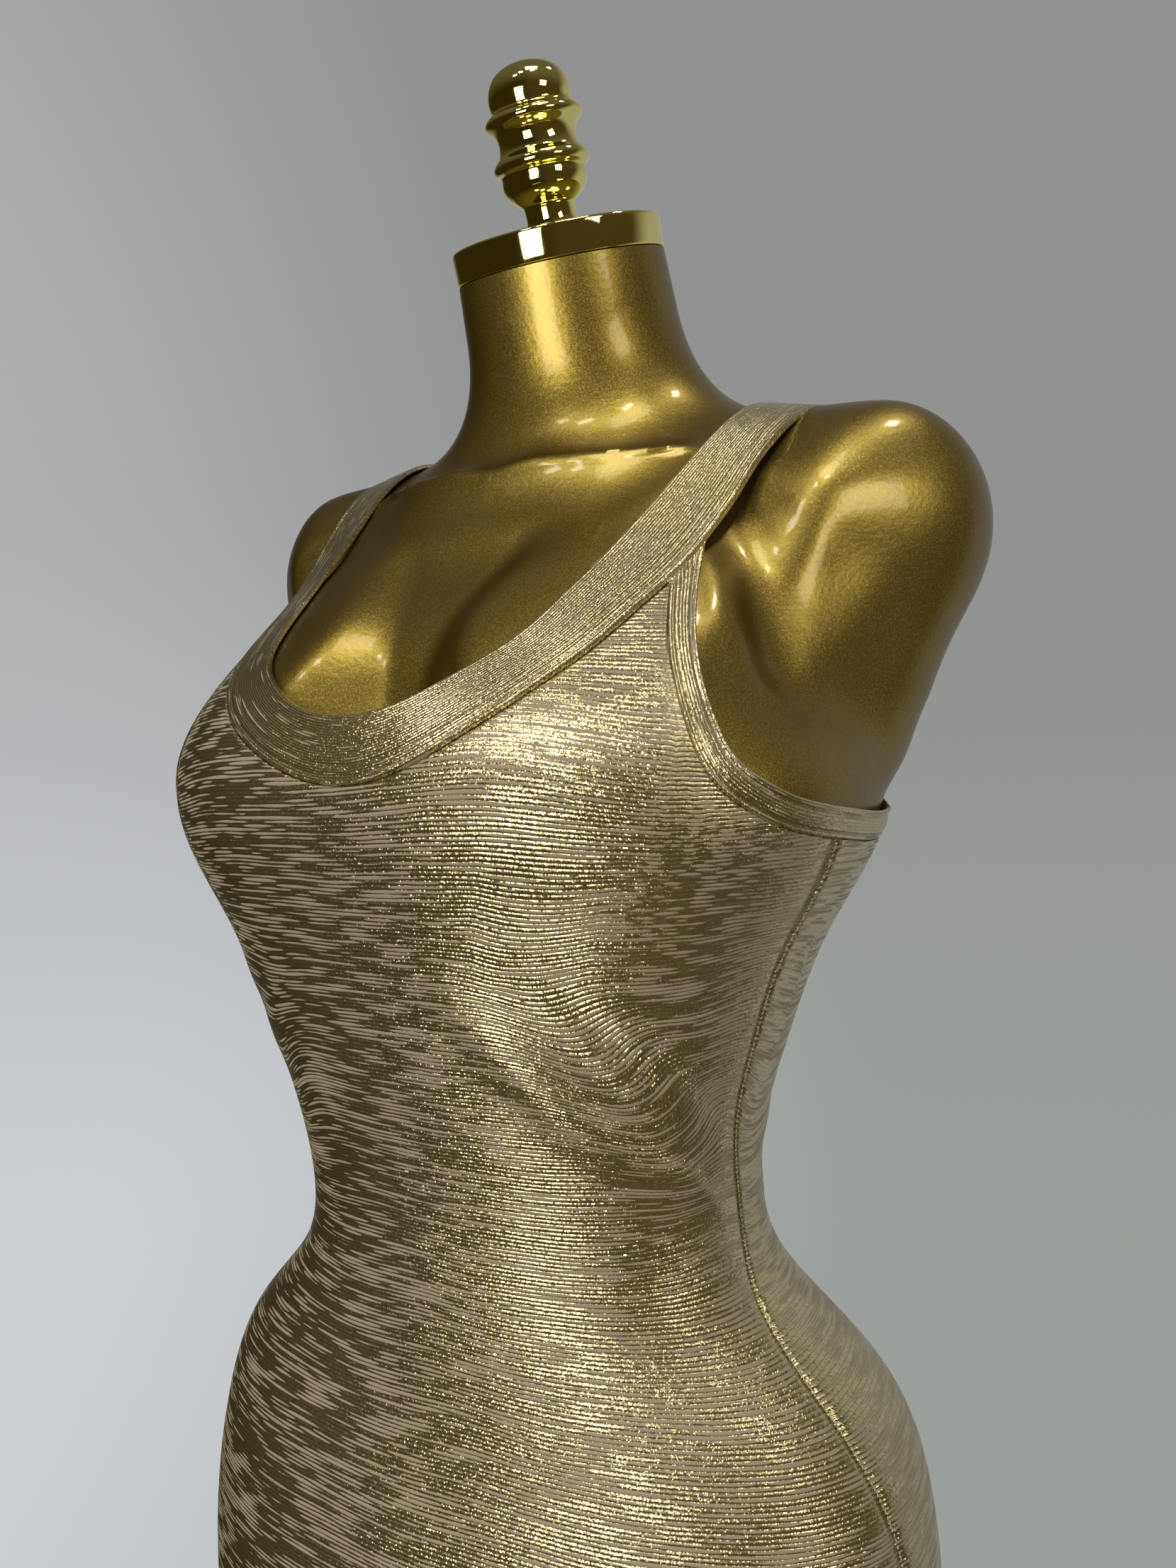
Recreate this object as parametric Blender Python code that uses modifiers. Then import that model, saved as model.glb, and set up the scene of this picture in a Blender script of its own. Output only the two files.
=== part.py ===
"""A foil-print bodycon tank dress on a limbless dress form with a turned finial and a round base.

Lengths are in millimetres and become metres where a mesh is made. +Z is up, the front faces -Y and
the middle of the base's underside is the origin. Angles go round the figure from +X, so -90 is the
centre front and 90 the centre back.
"""

import math

import bmesh
import bpy
import numpy as np

MM = 0.001
COLLECTION = "bodycon_dress"

# Cloth
PANEL_WALL = 1.6
BAND_WALL = 2.2
BINDING_WALL = 2.4
BINDING_WIDTH = 12.0
SEAM_GAP = 0.3
HEM_HEIGHT = 600.0
UNDERARM_HEIGHT = 1150.0
ARMHOLE_HALF_ANGLE = math.radians(29.5)
ARMHOLE_GAP = 0.5
STRAP_CLEARANCE = 1.85
SHOULDER_MIDDLE = (62.0, 1352.0)
FRONT_NECK_COLUMNS = 8
FRONT_ARMHOLE_COLUMNS = 8
BACK_NECK_COLUMNS = 6
BACK_ARMHOLE_COLUMNS = 7
STRAP_COLUMNS = 15

# Dress form
FORM_CLEARANCE = 1.5
FORM_BOTTOM = 560.0
FORM_SEGMENTS = 48
FORM_EDGE = 10.0

# Neck cap and finial
CAP_RADIUS = 53.5
CAP_THICKNESS = 15.5
CAP_TOP_Y = 33.0
CAP_TOP_HEIGHT = 1511.0
NECK_LEAN = math.radians(21.0)
TURNED_STEPS = 24

# Stand
BASE_RADIUS = 180.0
BASE_THICKNESS = 12.0
POLE_RADIUS = 16.0
HUB_RADIUS = 34.0
HUB_HEIGHT = 38.0
COLLAR_RADIUS = 42.0
COLLAR_HEIGHT = 30.0
TOUCHING_GAP = 0.3

# The outer face of the cloth. A section is a superellipse, round on the lower body and wider and
# squarer on the back above the underarm:
# height, front half width, back half width, front depth, back depth, centre y, back squareness.
FIGURE_ROWS = (
    (560, 143, 143, 91, 90, -2, 2.35),
    (620, 147, 147, 93, 94, 0, 2.35),
    (680, 153, 153, 95, 99, 2, 2.35),
    (740, 163, 163, 99, 106, 4, 2.35),
    (800, 177, 177, 102, 114, 8, 2.35),
    (860, 185, 185, 105, 120, 12, 2.35),
    (920, 181, 181, 102, 115, 15, 2.35),
    (970, 160, 160, 92, 101, 14, 2.35),
    (1010, 122, 122, 82, 88, 7, 2.35),
    (1050, 111, 111, 78, 82, 0, 2.35),
    (1090, 117, 117, 83, 81, -4, 2.35),
    (1130, 130, 130, 93, 86, -5, 2.35),
    (1170, 147, 147, 105, 92, -6, 2.4),
    (1210, 168, 168, 122, 98, -5, 2.6),
    (1250, 168, 173, 132, 103, 0, 2.8),
    (1290, 149, 172, 122, 99, 12, 3.0),
    (1320, 140, 168, 107, 87, 28, 3.2),
    (1350, 148, 166, 86, 76, 43, 3.2),
    (1380, 160, 166, 58, 70, 52, 3.2),
)
FRONT_SQUARENESS = 2.35

# The chest and upper back of the form without the bust and the shoulders:
# height, front half width, back half width, front depth, back depth, centre y.
CHEST_ROWS = (
    (1130, 127, 127, 90, 83, -5),
    (1170, 143, 143, 100, 89, -6),
    (1210, 160, 164, 104, 96, -5),
    (1250, 148, 164, 98, 100, 0),
    (1290, 126, 160, 92, 98, 10),
    (1320, 110, 150, 75, 93, 20),
    (1350, 101, 138, 74, 84, 30),
    (1375, 97, 122, 81, 76, 38),
    (1440, 97, 100, 82, 75, 42),
)
CHEST_SQUARENESS = 2.6

# The side seam: height, angle on the +X side.
SIDE_SEAM_ROWS = (
    (560, -7.0),
    (700, -7.0),
    (850, -7.0),
    (925, -7.6),
    (972, -10.2),
    (1006, -8.0),
    (1035, -3.6),
    (1062, -4.8),
    (1090, -8.6),
    (1125, -10.2),
    (1160, -10.4),
    (1186, -9.6),
    (1215, -11.0),
)

# The neck band's two edges on the +X side, from centre front over the shoulder to centre back. The
# last column gives what each section lies on. "front" and "back" rows give x and height, and y comes
# from the figure. "shoulder" rows give x and an angle in degrees up from the back, seen along X about
# the shoulder's middle, and the distance comes from the form:
# inner x, inner run, outer x, outer run, seat.
NECK_BAND_ROWS = (
    (0, 1260.0, 0, 1232.5, "front"),
    (14, 1261.2, 21, 1235.3, "front"),
    (26, 1264.3, 40, 1242.5, "front"),
    (38, 1269.5, 57, 1251.5, "front"),
    (49, 1276.0, 70, 1260.0, "front"),
    (59, 1283.0, 81, 1269.0, "front"),
    (66.5, 1292.0, 91, 1279.0, "front"),
    (72, 1305.0, 98.5, 1291.5, "front"),
    (77, 1320.0, 104.5, 1306.0, "front"),
    (81, 1335.0, 109.5, 1321.0, "front"),
    (85, 1350.0, 113.5, 1336.0, "front"),
    (89, 1365.0, 117.5, 1351.0, "front"),
    (93, 1380.0, 120.5, 1366.0, "front"),
    (98, 106, 128, 112, "shoulder"),
    (99, 83, 130, 82, "shoulder"),
    (98, 63, 129, 58, "shoulder"),
    (96, 42, 126, 38, "shoulder"),
    (92, 20, 121, 14, "shoulder"),
    (86, 1, 114, -13, "shoulder"),
    (77, 1338, 103, 1318, "back"),
    (63, 1328, 85, 1303, "back"),
    (43, 1321, 57, 1294, "back"),
    (21, 1318, 28, 1289, "back"),
    (0, 1317, 0, 1287, "back"),
)

# The middle of the armhole binding: angle, height.
BINDING_ROWS = (
    (-33.5, 1350.0),
    (-34.6, 1326.0),
    (-35.1, 1313.0),
    (-35.5, 1298.0),
    (-35.7, 1281.0),
    (-35.2, 1266.0),
    (-34.1, 1253.0),
    (-32.2, 1241.0),
    (-29.4, 1232.5),
    (-25.4, 1225.8),
    (-19.2, 1219.6),
    (-10.0, 1216.0),
    (2.0, 1214.0),
    (12.0, 1215.5),
    (20.0, 1220.0),
    (27.0, 1229.0),
    (31.5, 1243.0),
    (34.0, 1262.0),
    (35.3, 1284.0),
    (36.0, 1308.0),
    (36.0, 1340.0),
)

# Soft ridges in the cloth at the waist, where it is pushed up against the side seam. The last column
# is the side of the dress: start angle, start height, end angle, end height, half width, rise, side.
RIDGE_ROWS = (
    (-44, 1163, -12, 1112, 9.0, 1.9, 1),
    (-42, 1138, -12, 1087, 9.0, 2.2, 1),
    (-36, 1112, -10, 1068, 10.0, 1.5, 1),
    (-40, 1158, -14, 1120, 9.0, 1.4, -1),
    (-38, 1130, -12, 1090, 10.0, 1.8, -1),
)
RIDGE_ARC_RADIUS = 110.0

# The finial's outline on its own axis, from the top down: radius, height above the cap.
FINIAL_PROFILE = (
    (0.0, 78.7),
    (6.5, 78.1),
    (12.5, 76.1),
    (17.0, 72.7),
    (19.8, 67.7),
    (20.6, 62.2),
    (20.2, 58.2),
    (22.6, 56.0),
    (24.4, 53.3),
    (23.4, 50.9),
    (20.6, 48.1),
    (19.4, 44.5),
    (20.2, 39.2),
    (22.6, 36.2),
    (24.2, 33.1),
    (23.0, 30.4),
    (21.2, 28.9),
    (21.4, 24.7),
    (19.0, 19.2),
    (14.4, 15.2),
    (12.8, 12.4),
    (13.0, 5.7),
    (15.2, 2.9),
    (16.0, 0.7),
    (15.6, 0.0),
    (0.0, 0.0),
)


def natural_spline(knots, values):
    """A smooth curve through the values, as a function of the knots."""
    knots, values = np.asarray(knots, float), np.asarray(values, float)
    step = np.diff(knots)
    slope = np.diff(values) / step
    count = len(knots)
    system, right = np.eye(count), np.zeros(count)
    for row in range(1, count - 1):
        system[row, row - 1 : row + 2] = step[row - 1], 2 * (step[row - 1] + step[row]), step[row]
        right[row] = 6 * (slope[row] - slope[row - 1])
    bend = np.linalg.solve(system, right)

    def curve(at):
        at = np.clip(np.asarray(at, float), knots[0], knots[-1])
        span = np.clip(np.searchsorted(knots, at) - 1, 0, count - 2)
        low, high = at - knots[span], knots[span + 1] - at
        width = step[span]
        return (
            (bend[span] * high**3 + bend[span + 1] * low**3) / (6 * width)
            + (values[span] / width - bend[span] * width / 6) * high
            + (values[span + 1] / width - bend[span + 1] * width / 6) * low
        )

    return curve


def splines_of(rows):
    """A smooth curve for each column of a table, as a function of its first column."""
    columns = list(zip(*rows))
    return [natural_spline(columns[0], column) for column in columns[1:]]


front_width, back_width, figure_front, figure_back, figure_centre, back_squareness = splines_of(FIGURE_ROWS)
chest_width, chest_back_width, chest_front, chest_back, chest_centre = splines_of(CHEST_ROWS)
(seam_angle,) = splines_of(SIDE_SEAM_ROWS)


def figure_radius(angle, height):
    """The figure's radius about its section's centre."""
    cosine, sine = np.abs(np.cos(angle)), np.abs(np.sin(angle))
    front = np.sin(angle) < 0
    backward = np.clip(0.5 + 1.5 * np.sin(angle), 0, 1)
    width = front_width(height) + (back_width(height) - front_width(height)) * backward
    depth = np.where(front, figure_front(height), figure_back(height))
    square = np.where(front, FRONT_SQUARENESS, back_squareness(height))
    return ((cosine / width) ** square + (sine / depth) ** square) ** (-1 / square)


def figure_point(angle, height, inset=0.0):
    """The point on the figure at an angle and a height, moved in by the inset."""
    radius = figure_radius(angle, height) - inset
    y = figure_centre(height) + radius * np.sin(angle)
    return np.stack(np.broadcast_arrays(radius * np.cos(angle), y, np.asarray(height, float)), -1)


def figure_angle(x, height, side):
    """The angle at which the figure's front (-1) or back (1) has this x."""
    low = np.where(side < 0, -np.pi / 2, 0.0) * np.ones_like(x)
    high = np.where(side < 0, 0.0, np.pi / 2) * np.ones_like(x)
    for _ in range(40):
        middle = (low + high) / 2
        across = figure_radius(middle, height) * np.cos(middle)
        outside = (across > x) if side < 0 else (across < x)
        high, low = np.where(outside, middle, high), np.where(outside, low, middle)
    return (low + high) / 2


def smooth_less(first, second, blend):
    """The lesser of two distances, with a rounded joint between the two bodies."""
    mix = np.maximum(blend - np.abs(first - second), 0) / blend
    return np.minimum(first, second) - mix * mix * blend / 4


def smooth_more(first, second, blend):
    return -smooth_less(-first, -second, blend)


def tapered_bar(points, start, end, start_radius, end_radius):
    """The distance to a round bar between two points."""
    start, end = np.array(start, float), np.array(end, float)
    along = end - start
    share = np.clip((points - start) @ along / (along @ along), 0, 1)
    nearest = start + share[..., None] * along
    return np.linalg.norm(points - nearest, axis=-1) - (start_radius + share * (end_radius - start_radius))


def ellipsoid(points, centre, radii):
    """The approximate distance to an ellipsoid."""
    offset = points - np.array(centre, float)
    radii = np.array(radii, float)
    first = np.linalg.norm(offset / radii, axis=-1)
    second = np.linalg.norm(offset / radii**2, axis=-1)
    return first * (first - 1) / np.maximum(second, 1e-6)


def chest_distance(x, y, height):
    """The distance to the chest and the upper back."""
    offset = y - chest_centre(height)
    depth = np.where(offset < 0, chest_front(height), chest_back(height))
    backward = np.clip(0.5 + offset / 60, 0, 1)
    width = chest_width(height) + (chest_back_width(height) - chest_width(height)) * backward
    powers = (x / width) ** CHEST_SQUARENESS + (np.abs(offset) / depth) ** CHEST_SQUARENESS
    from_axis = np.hypot(x, offset)
    chest = from_axis * (1 - np.maximum(powers, 1e-9) ** (-1 / CHEST_SQUARENESS))
    collarbone = 1379 + 0.22 * (y + 43) - 0.08 * x
    return smooth_more(chest, height - collarbone, 12)


def form_distance(points):
    """The distance to the dress form's skin: less than zero inside it."""
    mirrored = points * np.where(points[..., :1] < 0, np.array([-1.0, 1, 1]), 1.0)
    x, y, height = mirrored[..., 0], mirrored[..., 1], mirrored[..., 2]
    bust = ellipsoid(mirrored, (66, -56, 1248), (62, 68, 78))
    chest = smooth_less(chest_distance(x, y, height), bust, 18)
    column = tapered_bar(mirrored, (150, 68, 1350), (128, 42, 1238), 49, 47)
    ridge = tapered_bar(mirrored, (48, 70, 1386), (150, 68, 1352), 38, 48)
    chest = smooth_less(chest, smooth_less(column, ridge, 20), 22)

    figure_y = y - figure_centre(height)
    angle = np.arctan2(figure_y, x)
    under_cloth = np.hypot(x, figure_y) - figure_radius(angle, height) + PANEL_WALL + FORM_CLEARANCE
    valley = np.where(figure_y < 0, np.exp(-((x / 25) ** 2)), 0) * np.clip((height - 1165) / 75, 0, 1) ** 2
    above_waist = np.clip((height - 1205) / 70, 0, 1)
    above_waist = above_waist * above_waist * (3 - 2 * above_waist)
    body = (1 - above_waist) * (under_cloth + 24 * valley) + above_waist * chest

    neck_top = np.array([0, CAP_TOP_Y, CAP_TOP_HEIGHT])
    axis = np.array([0, -math.sin(NECK_LEAN), math.cos(NECK_LEAN)])
    neck = tapered_bar(mirrored, neck_top - 118 * axis, neck_top + 30 * axis, 60, 50)
    body = smooth_less(body, neck, 26 + 30 * np.clip((y + 45) / 70, 0, 1))

    armhole_height = 1223 + 100 * np.minimum(np.abs(angle) / ARMHOLE_HALF_ANGLE, 1.5) ** 6
    neckline_height = np.where(figure_y < 0, 1335 + 1.2 * np.maximum(x - 60, 0), 1324 + 0.55 * x)
    above_edge = np.clip((height - np.minimum(armhole_height, neckline_height)) / 12, 0, 8)
    return smooth_more(body, under_cloth - 2 * above_edge**2, 4)


def cast_to_form(origins, directions, reach=420.0, step=6.0):
    """Where rays from inside the form meet its skin."""
    inside = np.zeros(origins.shape[:-1])
    open_ray = np.ones(origins.shape[:-1], bool)
    for length in np.arange(step, reach, step):
        still = open_ray & (form_distance(origins + length * directions) < 0)
        inside = np.where(still, length, inside)
        open_ray = still
    outside = inside + step
    for _ in range(24):
        middle = (inside + outside) / 2
        within = form_distance(origins + middle[..., None] * directions) < 0
        inside, outside = np.where(within, middle, inside), np.where(within, outside, middle)
    return origins + ((inside + outside) / 2)[..., None] * directions


def seat_on_shoulder(x, angle):
    """The point clear of the form's skin at an angle round the shoulder's middle, more so down the back."""
    clearance = STRAP_CLEARANCE * (1 + 1.7 * min(max(1 - angle / 50, 0), 1))
    origin = np.array([[x, *SHOULDER_MIDDLE]])
    direction = np.array([[0, math.cos(math.radians(angle)), math.sin(math.radians(angle))]])
    return (cast_to_form(origin, direction, reach=120.0) + clearance * direction)[0]


def material(name, colour, metallic, roughness):
    made = bpy.data.materials.new(name)
    made.use_nodes = True
    made.diffuse_color = (*colour, 1)
    shader = made.node_tree.nodes["Principled BSDF"]
    shader.inputs["Base Color"].default_value = (*colour, 1)
    shader.inputs["Metallic"].default_value = metallic
    shader.inputs["Roughness"].default_value = roughness
    return made


def add_object(name, mesh, slot):
    made = bpy.data.objects.new(name, mesh)
    bpy.data.collections[COLLECTION].objects.link(made)
    mesh.materials.append(slot)
    mesh.shade_smooth()
    return made


def grid_faces(bm, points, closed_across=False):
    """Quads over rows of points. They face out where the rows rise and their points go round from +X."""
    rows = [[bm.verts.new(point * MM) for point in row] for row in points]
    count = len(rows[0])
    for lower, upper in zip(rows, rows[1:]):
        for here in range(count if closed_across else count - 1):
            after = (here + 1) % count
            bm.faces.new((lower[here], lower[after], upper[after], upper[here]))
    return rows


def cloth_object(name, points, wall, slot, closed_across=False):
    """A cloth wall whose inner face is the grid of points."""
    bm = bmesh.new()
    grid_faces(bm, points, closed_across)
    mesh = bpy.data.meshes.new(name)
    bm.to_mesh(mesh)
    bm.free()
    made = add_object(name, mesh, slot)
    thickness = made.modifiers.new("Wall", "SOLIDIFY")
    thickness.thickness = wall * MM
    thickness.offset = 1.0
    thickness.use_even_offset = True
    return made


def turned_object(name, profile, slot, steps=TURNED_STEPS):
    """A solid turned about its own Z axis. The profile runs down its outer side."""
    mesh = bpy.data.meshes.new(name)
    points = [(radius * MM, 0, height * MM) for radius, height in profile]
    mesh.from_pydata(points, [(i, i + 1) for i in range(len(points) - 1)], [])
    made = add_object(name, mesh, slot)
    turn = made.modifiers.new("Turn", "SCREW")
    turn.steps = turn.render_steps = steps
    turn.use_merge_vertices = True
    turn.merge_threshold = 0.0001
    turn.use_smooth_shade = True
    return made


def neck_band_edges():
    """The band's inner and outer edges on the +X side, as smooth curves of a station from 0 to 1."""
    edges = []
    for first in (0, 2):
        edge = []
        for row in NECK_BAND_ROWS:
            x, run, seat = row[first], row[first + 1], row[4]
            if seat == "shoulder":
                edge.append(seat_on_shoulder(x, run))
            else:
                angle = figure_angle(np.float64(x), np.float64(run), -1 if seat == "front" else 1)
                edge.append(figure_point(angle, run, PANEL_WALL))
        edges.append(np.array(edge))
    run = np.concatenate([[0], np.cumsum(np.linalg.norm(np.diff(sum(edges) / 2, axis=0), axis=1))])
    run /= run[-1]
    curves = []
    for edge in edges:
        flipped = edge * np.array([-1, 1, 1])
        whole = np.concatenate([flipped[3:0:-1], edge, flipped[-2:-5:-1]])
        knots = np.concatenate([-run[3:0:-1], run, 2 - run[-2:-5:-1]])
        curves.append([natural_spline(knots, column) for column in whole.T])
    return curves


def on_curve(curve, stations):
    return np.stack([column(stations) for column in curve], -1)


def neck_band_half(stations, across):
    """Points of the +X half of the neck band. Across runs from 0 at its inner edge to 1 at its outer."""
    inner, outer = (on_curve(curve, stations) for curve in neck_band_edges())
    return inner[:, None] + (outer - inner)[:, None] * np.asarray(across)[None, :, None]


def neck_edge(extra=SEAM_GAP):
    """The line that the panels meet on the +X side of the neck band, dense, a gap outside its edge."""
    stations = np.linspace(0, 1, 600)
    band = neck_band_half(stations, (0.0, 1.0))
    width = np.linalg.norm(band[:, 1] - band[:, 0], axis=1)
    return band[:, 1] + (band[:, 1] - band[:, 0]) * (extra / width)[:, None]


def to_angle_height(points):
    return np.stack([np.arctan2(points[:, 1] - figure_centre(points[:, 2]), points[:, 0]), points[:, 2]], -1)


def armhole_lines(offsets, count=800):
    """Dense lines along the armhole, each a distance out of the binding's middle, as angles and heights."""
    run = np.arange(len(BINDING_ROWS))
    angle = natural_spline(run, [math.radians(row[0]) for row in BINDING_ROWS])
    height = natural_spline(run, [row[1] for row in BINDING_ROWS])
    at = np.linspace(0, run[-1], count)
    middle = np.stack([angle(at), height(at)], -1)
    radius = figure_radius(middle[:, 0], middle[:, 1])
    flat = np.stack([middle[:, 0] * radius, middle[:, 1]], -1)
    along = np.gradient(flat, axis=0)
    along /= np.linalg.norm(along, axis=1)[:, None]
    outward = np.stack([along[:, 1] / radius, -along[:, 0]], -1)
    return [middle + outward * offset for offset in offsets]


def armhole_ends(line, gap=SEAM_GAP):
    """The first and the last place of an armhole line that are a gap clear of the neck band's edge."""
    edge = to_angle_height(neck_edge(gap))
    edge = edge[edge[:, 1] < 1375]
    front, back = edge[edge[:, 0] < 0], edge[edge[:, 0] > 0][::-1]
    limit = np.where(
        line[:, 0] < 0,
        np.interp(line[:, 0], front[:, 0], front[:, 1]),
        np.interp(-line[:, 0], -back[:, 0], back[:, 1]),
    )
    clear = np.flatnonzero(line[:, 1] <= limit)
    return clear[0], clear[-1]


def armhole_columns():
    """Places along the armhole where the binding and the panels' columns meet: front, back."""
    (line,) = armhole_lines((BINDING_WIDTH / 2 + ARMHOLE_GAP,))
    first, last = armhole_ends(line)
    seam = np.flatnonzero(line[:, 0] > np.radians(seam_angle(line[:, 1])))[0]
    front = np.linspace(first, seam, FRONT_ARMHOLE_COLUMNS + 1).round().astype(int)
    back = np.linspace(seam, last, BACK_ARMHOLE_COLUMNS + 1).round().astype(int)
    return front, back


def neck_columns():
    """The neck band's stations on the +X side: along the front panel, the strap and the back panel."""
    (line,) = armhole_lines((BINDING_WIDTH / 2 + ARMHOLE_GAP,))
    edge = to_angle_height(neck_edge())
    ends = []
    for end in armhole_ends(line):
        tip = line[end]
        ends.append(np.argmin(np.hypot((edge[:, 0] - tip[0]) * 130, edge[:, 1] - tip[1])) / (len(edge) - 1))
    front = np.linspace(0, ends[0], FRONT_NECK_COLUMNS + 1)
    strap = np.linspace(ends[0], ends[1], STRAP_COLUMNS + 1)
    back = np.linspace(ends[1], 1, BACK_NECK_COLUMNS + 1)
    return front, strap, back


def build_neck_band(slot):
    front, strap, back = neck_columns()
    half = neck_band_half(np.concatenate([front, strap[1:], back[1:]]), (1.0, 0.75, 0.38, 0.0))
    mirrored = half[-2:0:-1] * np.array([-1.0, 1, 1])
    rows = np.swapaxes(np.concatenate([half, mirrored]), 0, 1)
    return cloth_object("neck_band", rows, BAND_WALL, slot, closed_across=True)


def build_arm_binding(side, slot):
    half_width = BINDING_WIDTH / 2
    front, back = armhole_columns()
    rows = []
    for line in armhole_lines((half_width, 0.0, -half_width)):
        first, last = armhole_ends(line, 4 * SEAM_GAP)
        places = np.concatenate([[first], front[1:], back[1:-1], [last]])
        rows.append(figure_point(line[places, 0], line[places, 1], PANEL_WALL))
    rows = np.array(rows)
    if side < 0:
        rows = rows[:, ::-1] * np.array([-1.0, 1, 1])
    return cloth_object(f"arm_binding_{'left' if side > 0 else 'right'}", rows, BINDING_WALL, slot)


def ridge_rise(angle, height):
    """How far the waist ridges lift the cloth."""
    rise = np.zeros(np.broadcast(angle, height).shape)
    for start_angle, start_height, end_angle, end_height, half_width, most, side in RIDGE_ROWS:
        turn = angle if side > 0 else -np.pi - angle
        place = np.stack(np.broadcast_arrays(turn * RIDGE_ARC_RADIUS, height), -1)
        start = np.array([math.radians(start_angle) * RIDGE_ARC_RADIUS, start_height])
        end = np.array([math.radians(end_angle) * RIDGE_ARC_RADIUS, end_height])
        along = end - start
        share = np.clip((place - start) @ along / (along @ along), 0, 1)
        away = np.linalg.norm(place - start - share[..., None] * along, axis=-1)
        rise = rise + most * np.exp(-((away / half_width) ** 2)) * np.sin(np.pi * (0.12 + 0.76 * share))
    return rise


def panel_heights(fine_step):
    """Row heights from the hem up to the underarm, closer where the figure bends most."""
    spans = ((HEM_HEIGHT, 940, 34.0), (940, 1060, 14.5), (1060, UNDERARM_HEIGHT, fine_step))
    heights = [
        np.linspace(low, high, int(round((high - low) / step)), endpoint=False) for low, high, step in spans
    ]
    return np.concatenate([*heights, [UNDERARM_HEIGHT]])


def seam_side(height, back):
    """The angle of a panel's side edge, half a gap from the side seam."""
    seam = np.radians(seam_angle(height))
    half_gap = SEAM_GAP / 2 / figure_radius(seam, height)
    return seam + (half_gap if back else -half_gap)


def panel_top(back):
    """The upper edge of half a panel on the +X side, from its middle to the side seam: angles, heights."""
    (armhole,) = armhole_lines((BINDING_WIDTH / 2 + ARMHOLE_GAP,))
    front_places, back_places = armhole_columns()
    front_stations, _, back_stations = neck_columns()
    places = back_places[::-1] if back else front_places
    stations = back_stations[::-1] if back else front_stations
    band = neck_band_half(stations[:-1], (0.0, 1.0))
    across = band[:, 1] - band[:, 0]
    edge = band[:, 1] + across * (SEAM_GAP / np.linalg.norm(across, axis=1))[:, None]
    return np.concatenate([to_angle_height(edge), armhole[places]])


def build_panel(name, back, top_rows, fine_step, slot):
    """A front or back panel: level rows up to the underarm, then rows that fan out to the upper edge."""
    centre = np.pi / 2 if back else -np.pi / 2
    top = panel_top(back)
    top[0, 0] = centre
    columns = len(top)
    points = figure_point(top[:, 0], np.full(columns, UNDERARM_HEIGHT))
    run = np.concatenate([[0], np.cumsum(np.linalg.norm(np.diff(points[:, :2], axis=0), axis=1))])
    spread = 0.5 * np.linspace(0, 1, columns) + 0.5 * run / run[-1]

    def level_row(height):
        fine = np.linspace(centre, seam_side(height, back), 200)
        line = figure_point(fine, height)
        run = np.concatenate([[0], np.cumsum(np.linalg.norm(np.diff(line, axis=0), axis=1))])
        return np.interp(spread * run[-1], run, fine)

    rows = [(level_row(height), np.full(columns, height)) for height in panel_heights(fine_step)]
    base = rows[-1][0]
    for step in range(1, top_rows + 1):
        rise = step / top_rows
        heights = UNDERARM_HEIGHT + (top[:, 1] - UNDERARM_HEIGHT) * rise
        ease = rise * rise * (3 - 2 * rise)
        angles = base + (top[:, 0] - base) * (0.5 * rise + 0.5 * ease)
        angles[-1] = seam_side(heights[-1], back)
        rows.append((angles, heights))

    grid = []
    for angles, heights in rows:
        mirrored = -np.pi - angles if not back else np.pi - angles
        whole_angles = np.concatenate([mirrored[:0:-1], angles])
        whole_heights = np.concatenate([heights[:0:-1], heights])
        if back:
            whole_angles, whole_heights = whole_angles[::-1], whole_heights[::-1]
        lift = 0.0 if back else ridge_rise(whole_angles, whole_heights)
        grid.append(figure_point(whole_angles, whole_heights, PANEL_WALL - lift))
    return cloth_object(name, np.array(grid), PANEL_WALL, slot)


def form_rings():
    """Origins, directions for the form's rings from its bottom edge to the top of its neck."""
    heights = np.concatenate(
        [
            np.linspace(FORM_BOTTOM + FORM_EDGE, 940, 12, endpoint=False),
            np.linspace(940, 1060, 8, endpoint=False),
            np.linspace(1060, 1184, 5, endpoint=False),
        ]
    )
    rings = [(figure_centre(height), height, 0.0, 0.0) for height in heights]
    # Where the upper rings are cast from: station, origin y, origin height, rise and lean in degrees.
    fan_rows = (
        (0, -4, 1184, 0, 0),
        (1, 6, 1250, 0, 0),
        (2, 30, 1310, 3, 0),
        (3, 46, 1340, 26, 0),
        (4, 57, 1362, 46, 5),
        (5, 66, 1388, 47, 12),
        (6, 64, 1422, 24, 18),
        (7, 53, 1458, 6, 21),
        (8, 39, 1495.3, 0, 21),
    )
    fan = splines_of(fan_rows)
    stations = np.concatenate([np.arange(0, 2, 0.25), np.arange(2, 4, 0.18), np.arange(4, 8, 0.36), [8]])
    neck_foot = CAP_THICKNESS + TOUCHING_GAP
    last_y = CAP_TOP_Y + neck_foot * math.sin(NECK_LEAN)
    last_height = CAP_TOP_HEIGHT - neck_foot * math.cos(NECK_LEAN)
    for station in stations[:-1]:
        y, height, rise, lean = (float(column(station)) for column in fan)
        rings.append((y, height, math.radians(rise), math.radians(lean)))
    rings.append((last_y, last_height, 0.0, NECK_LEAN))
    return rings


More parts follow.
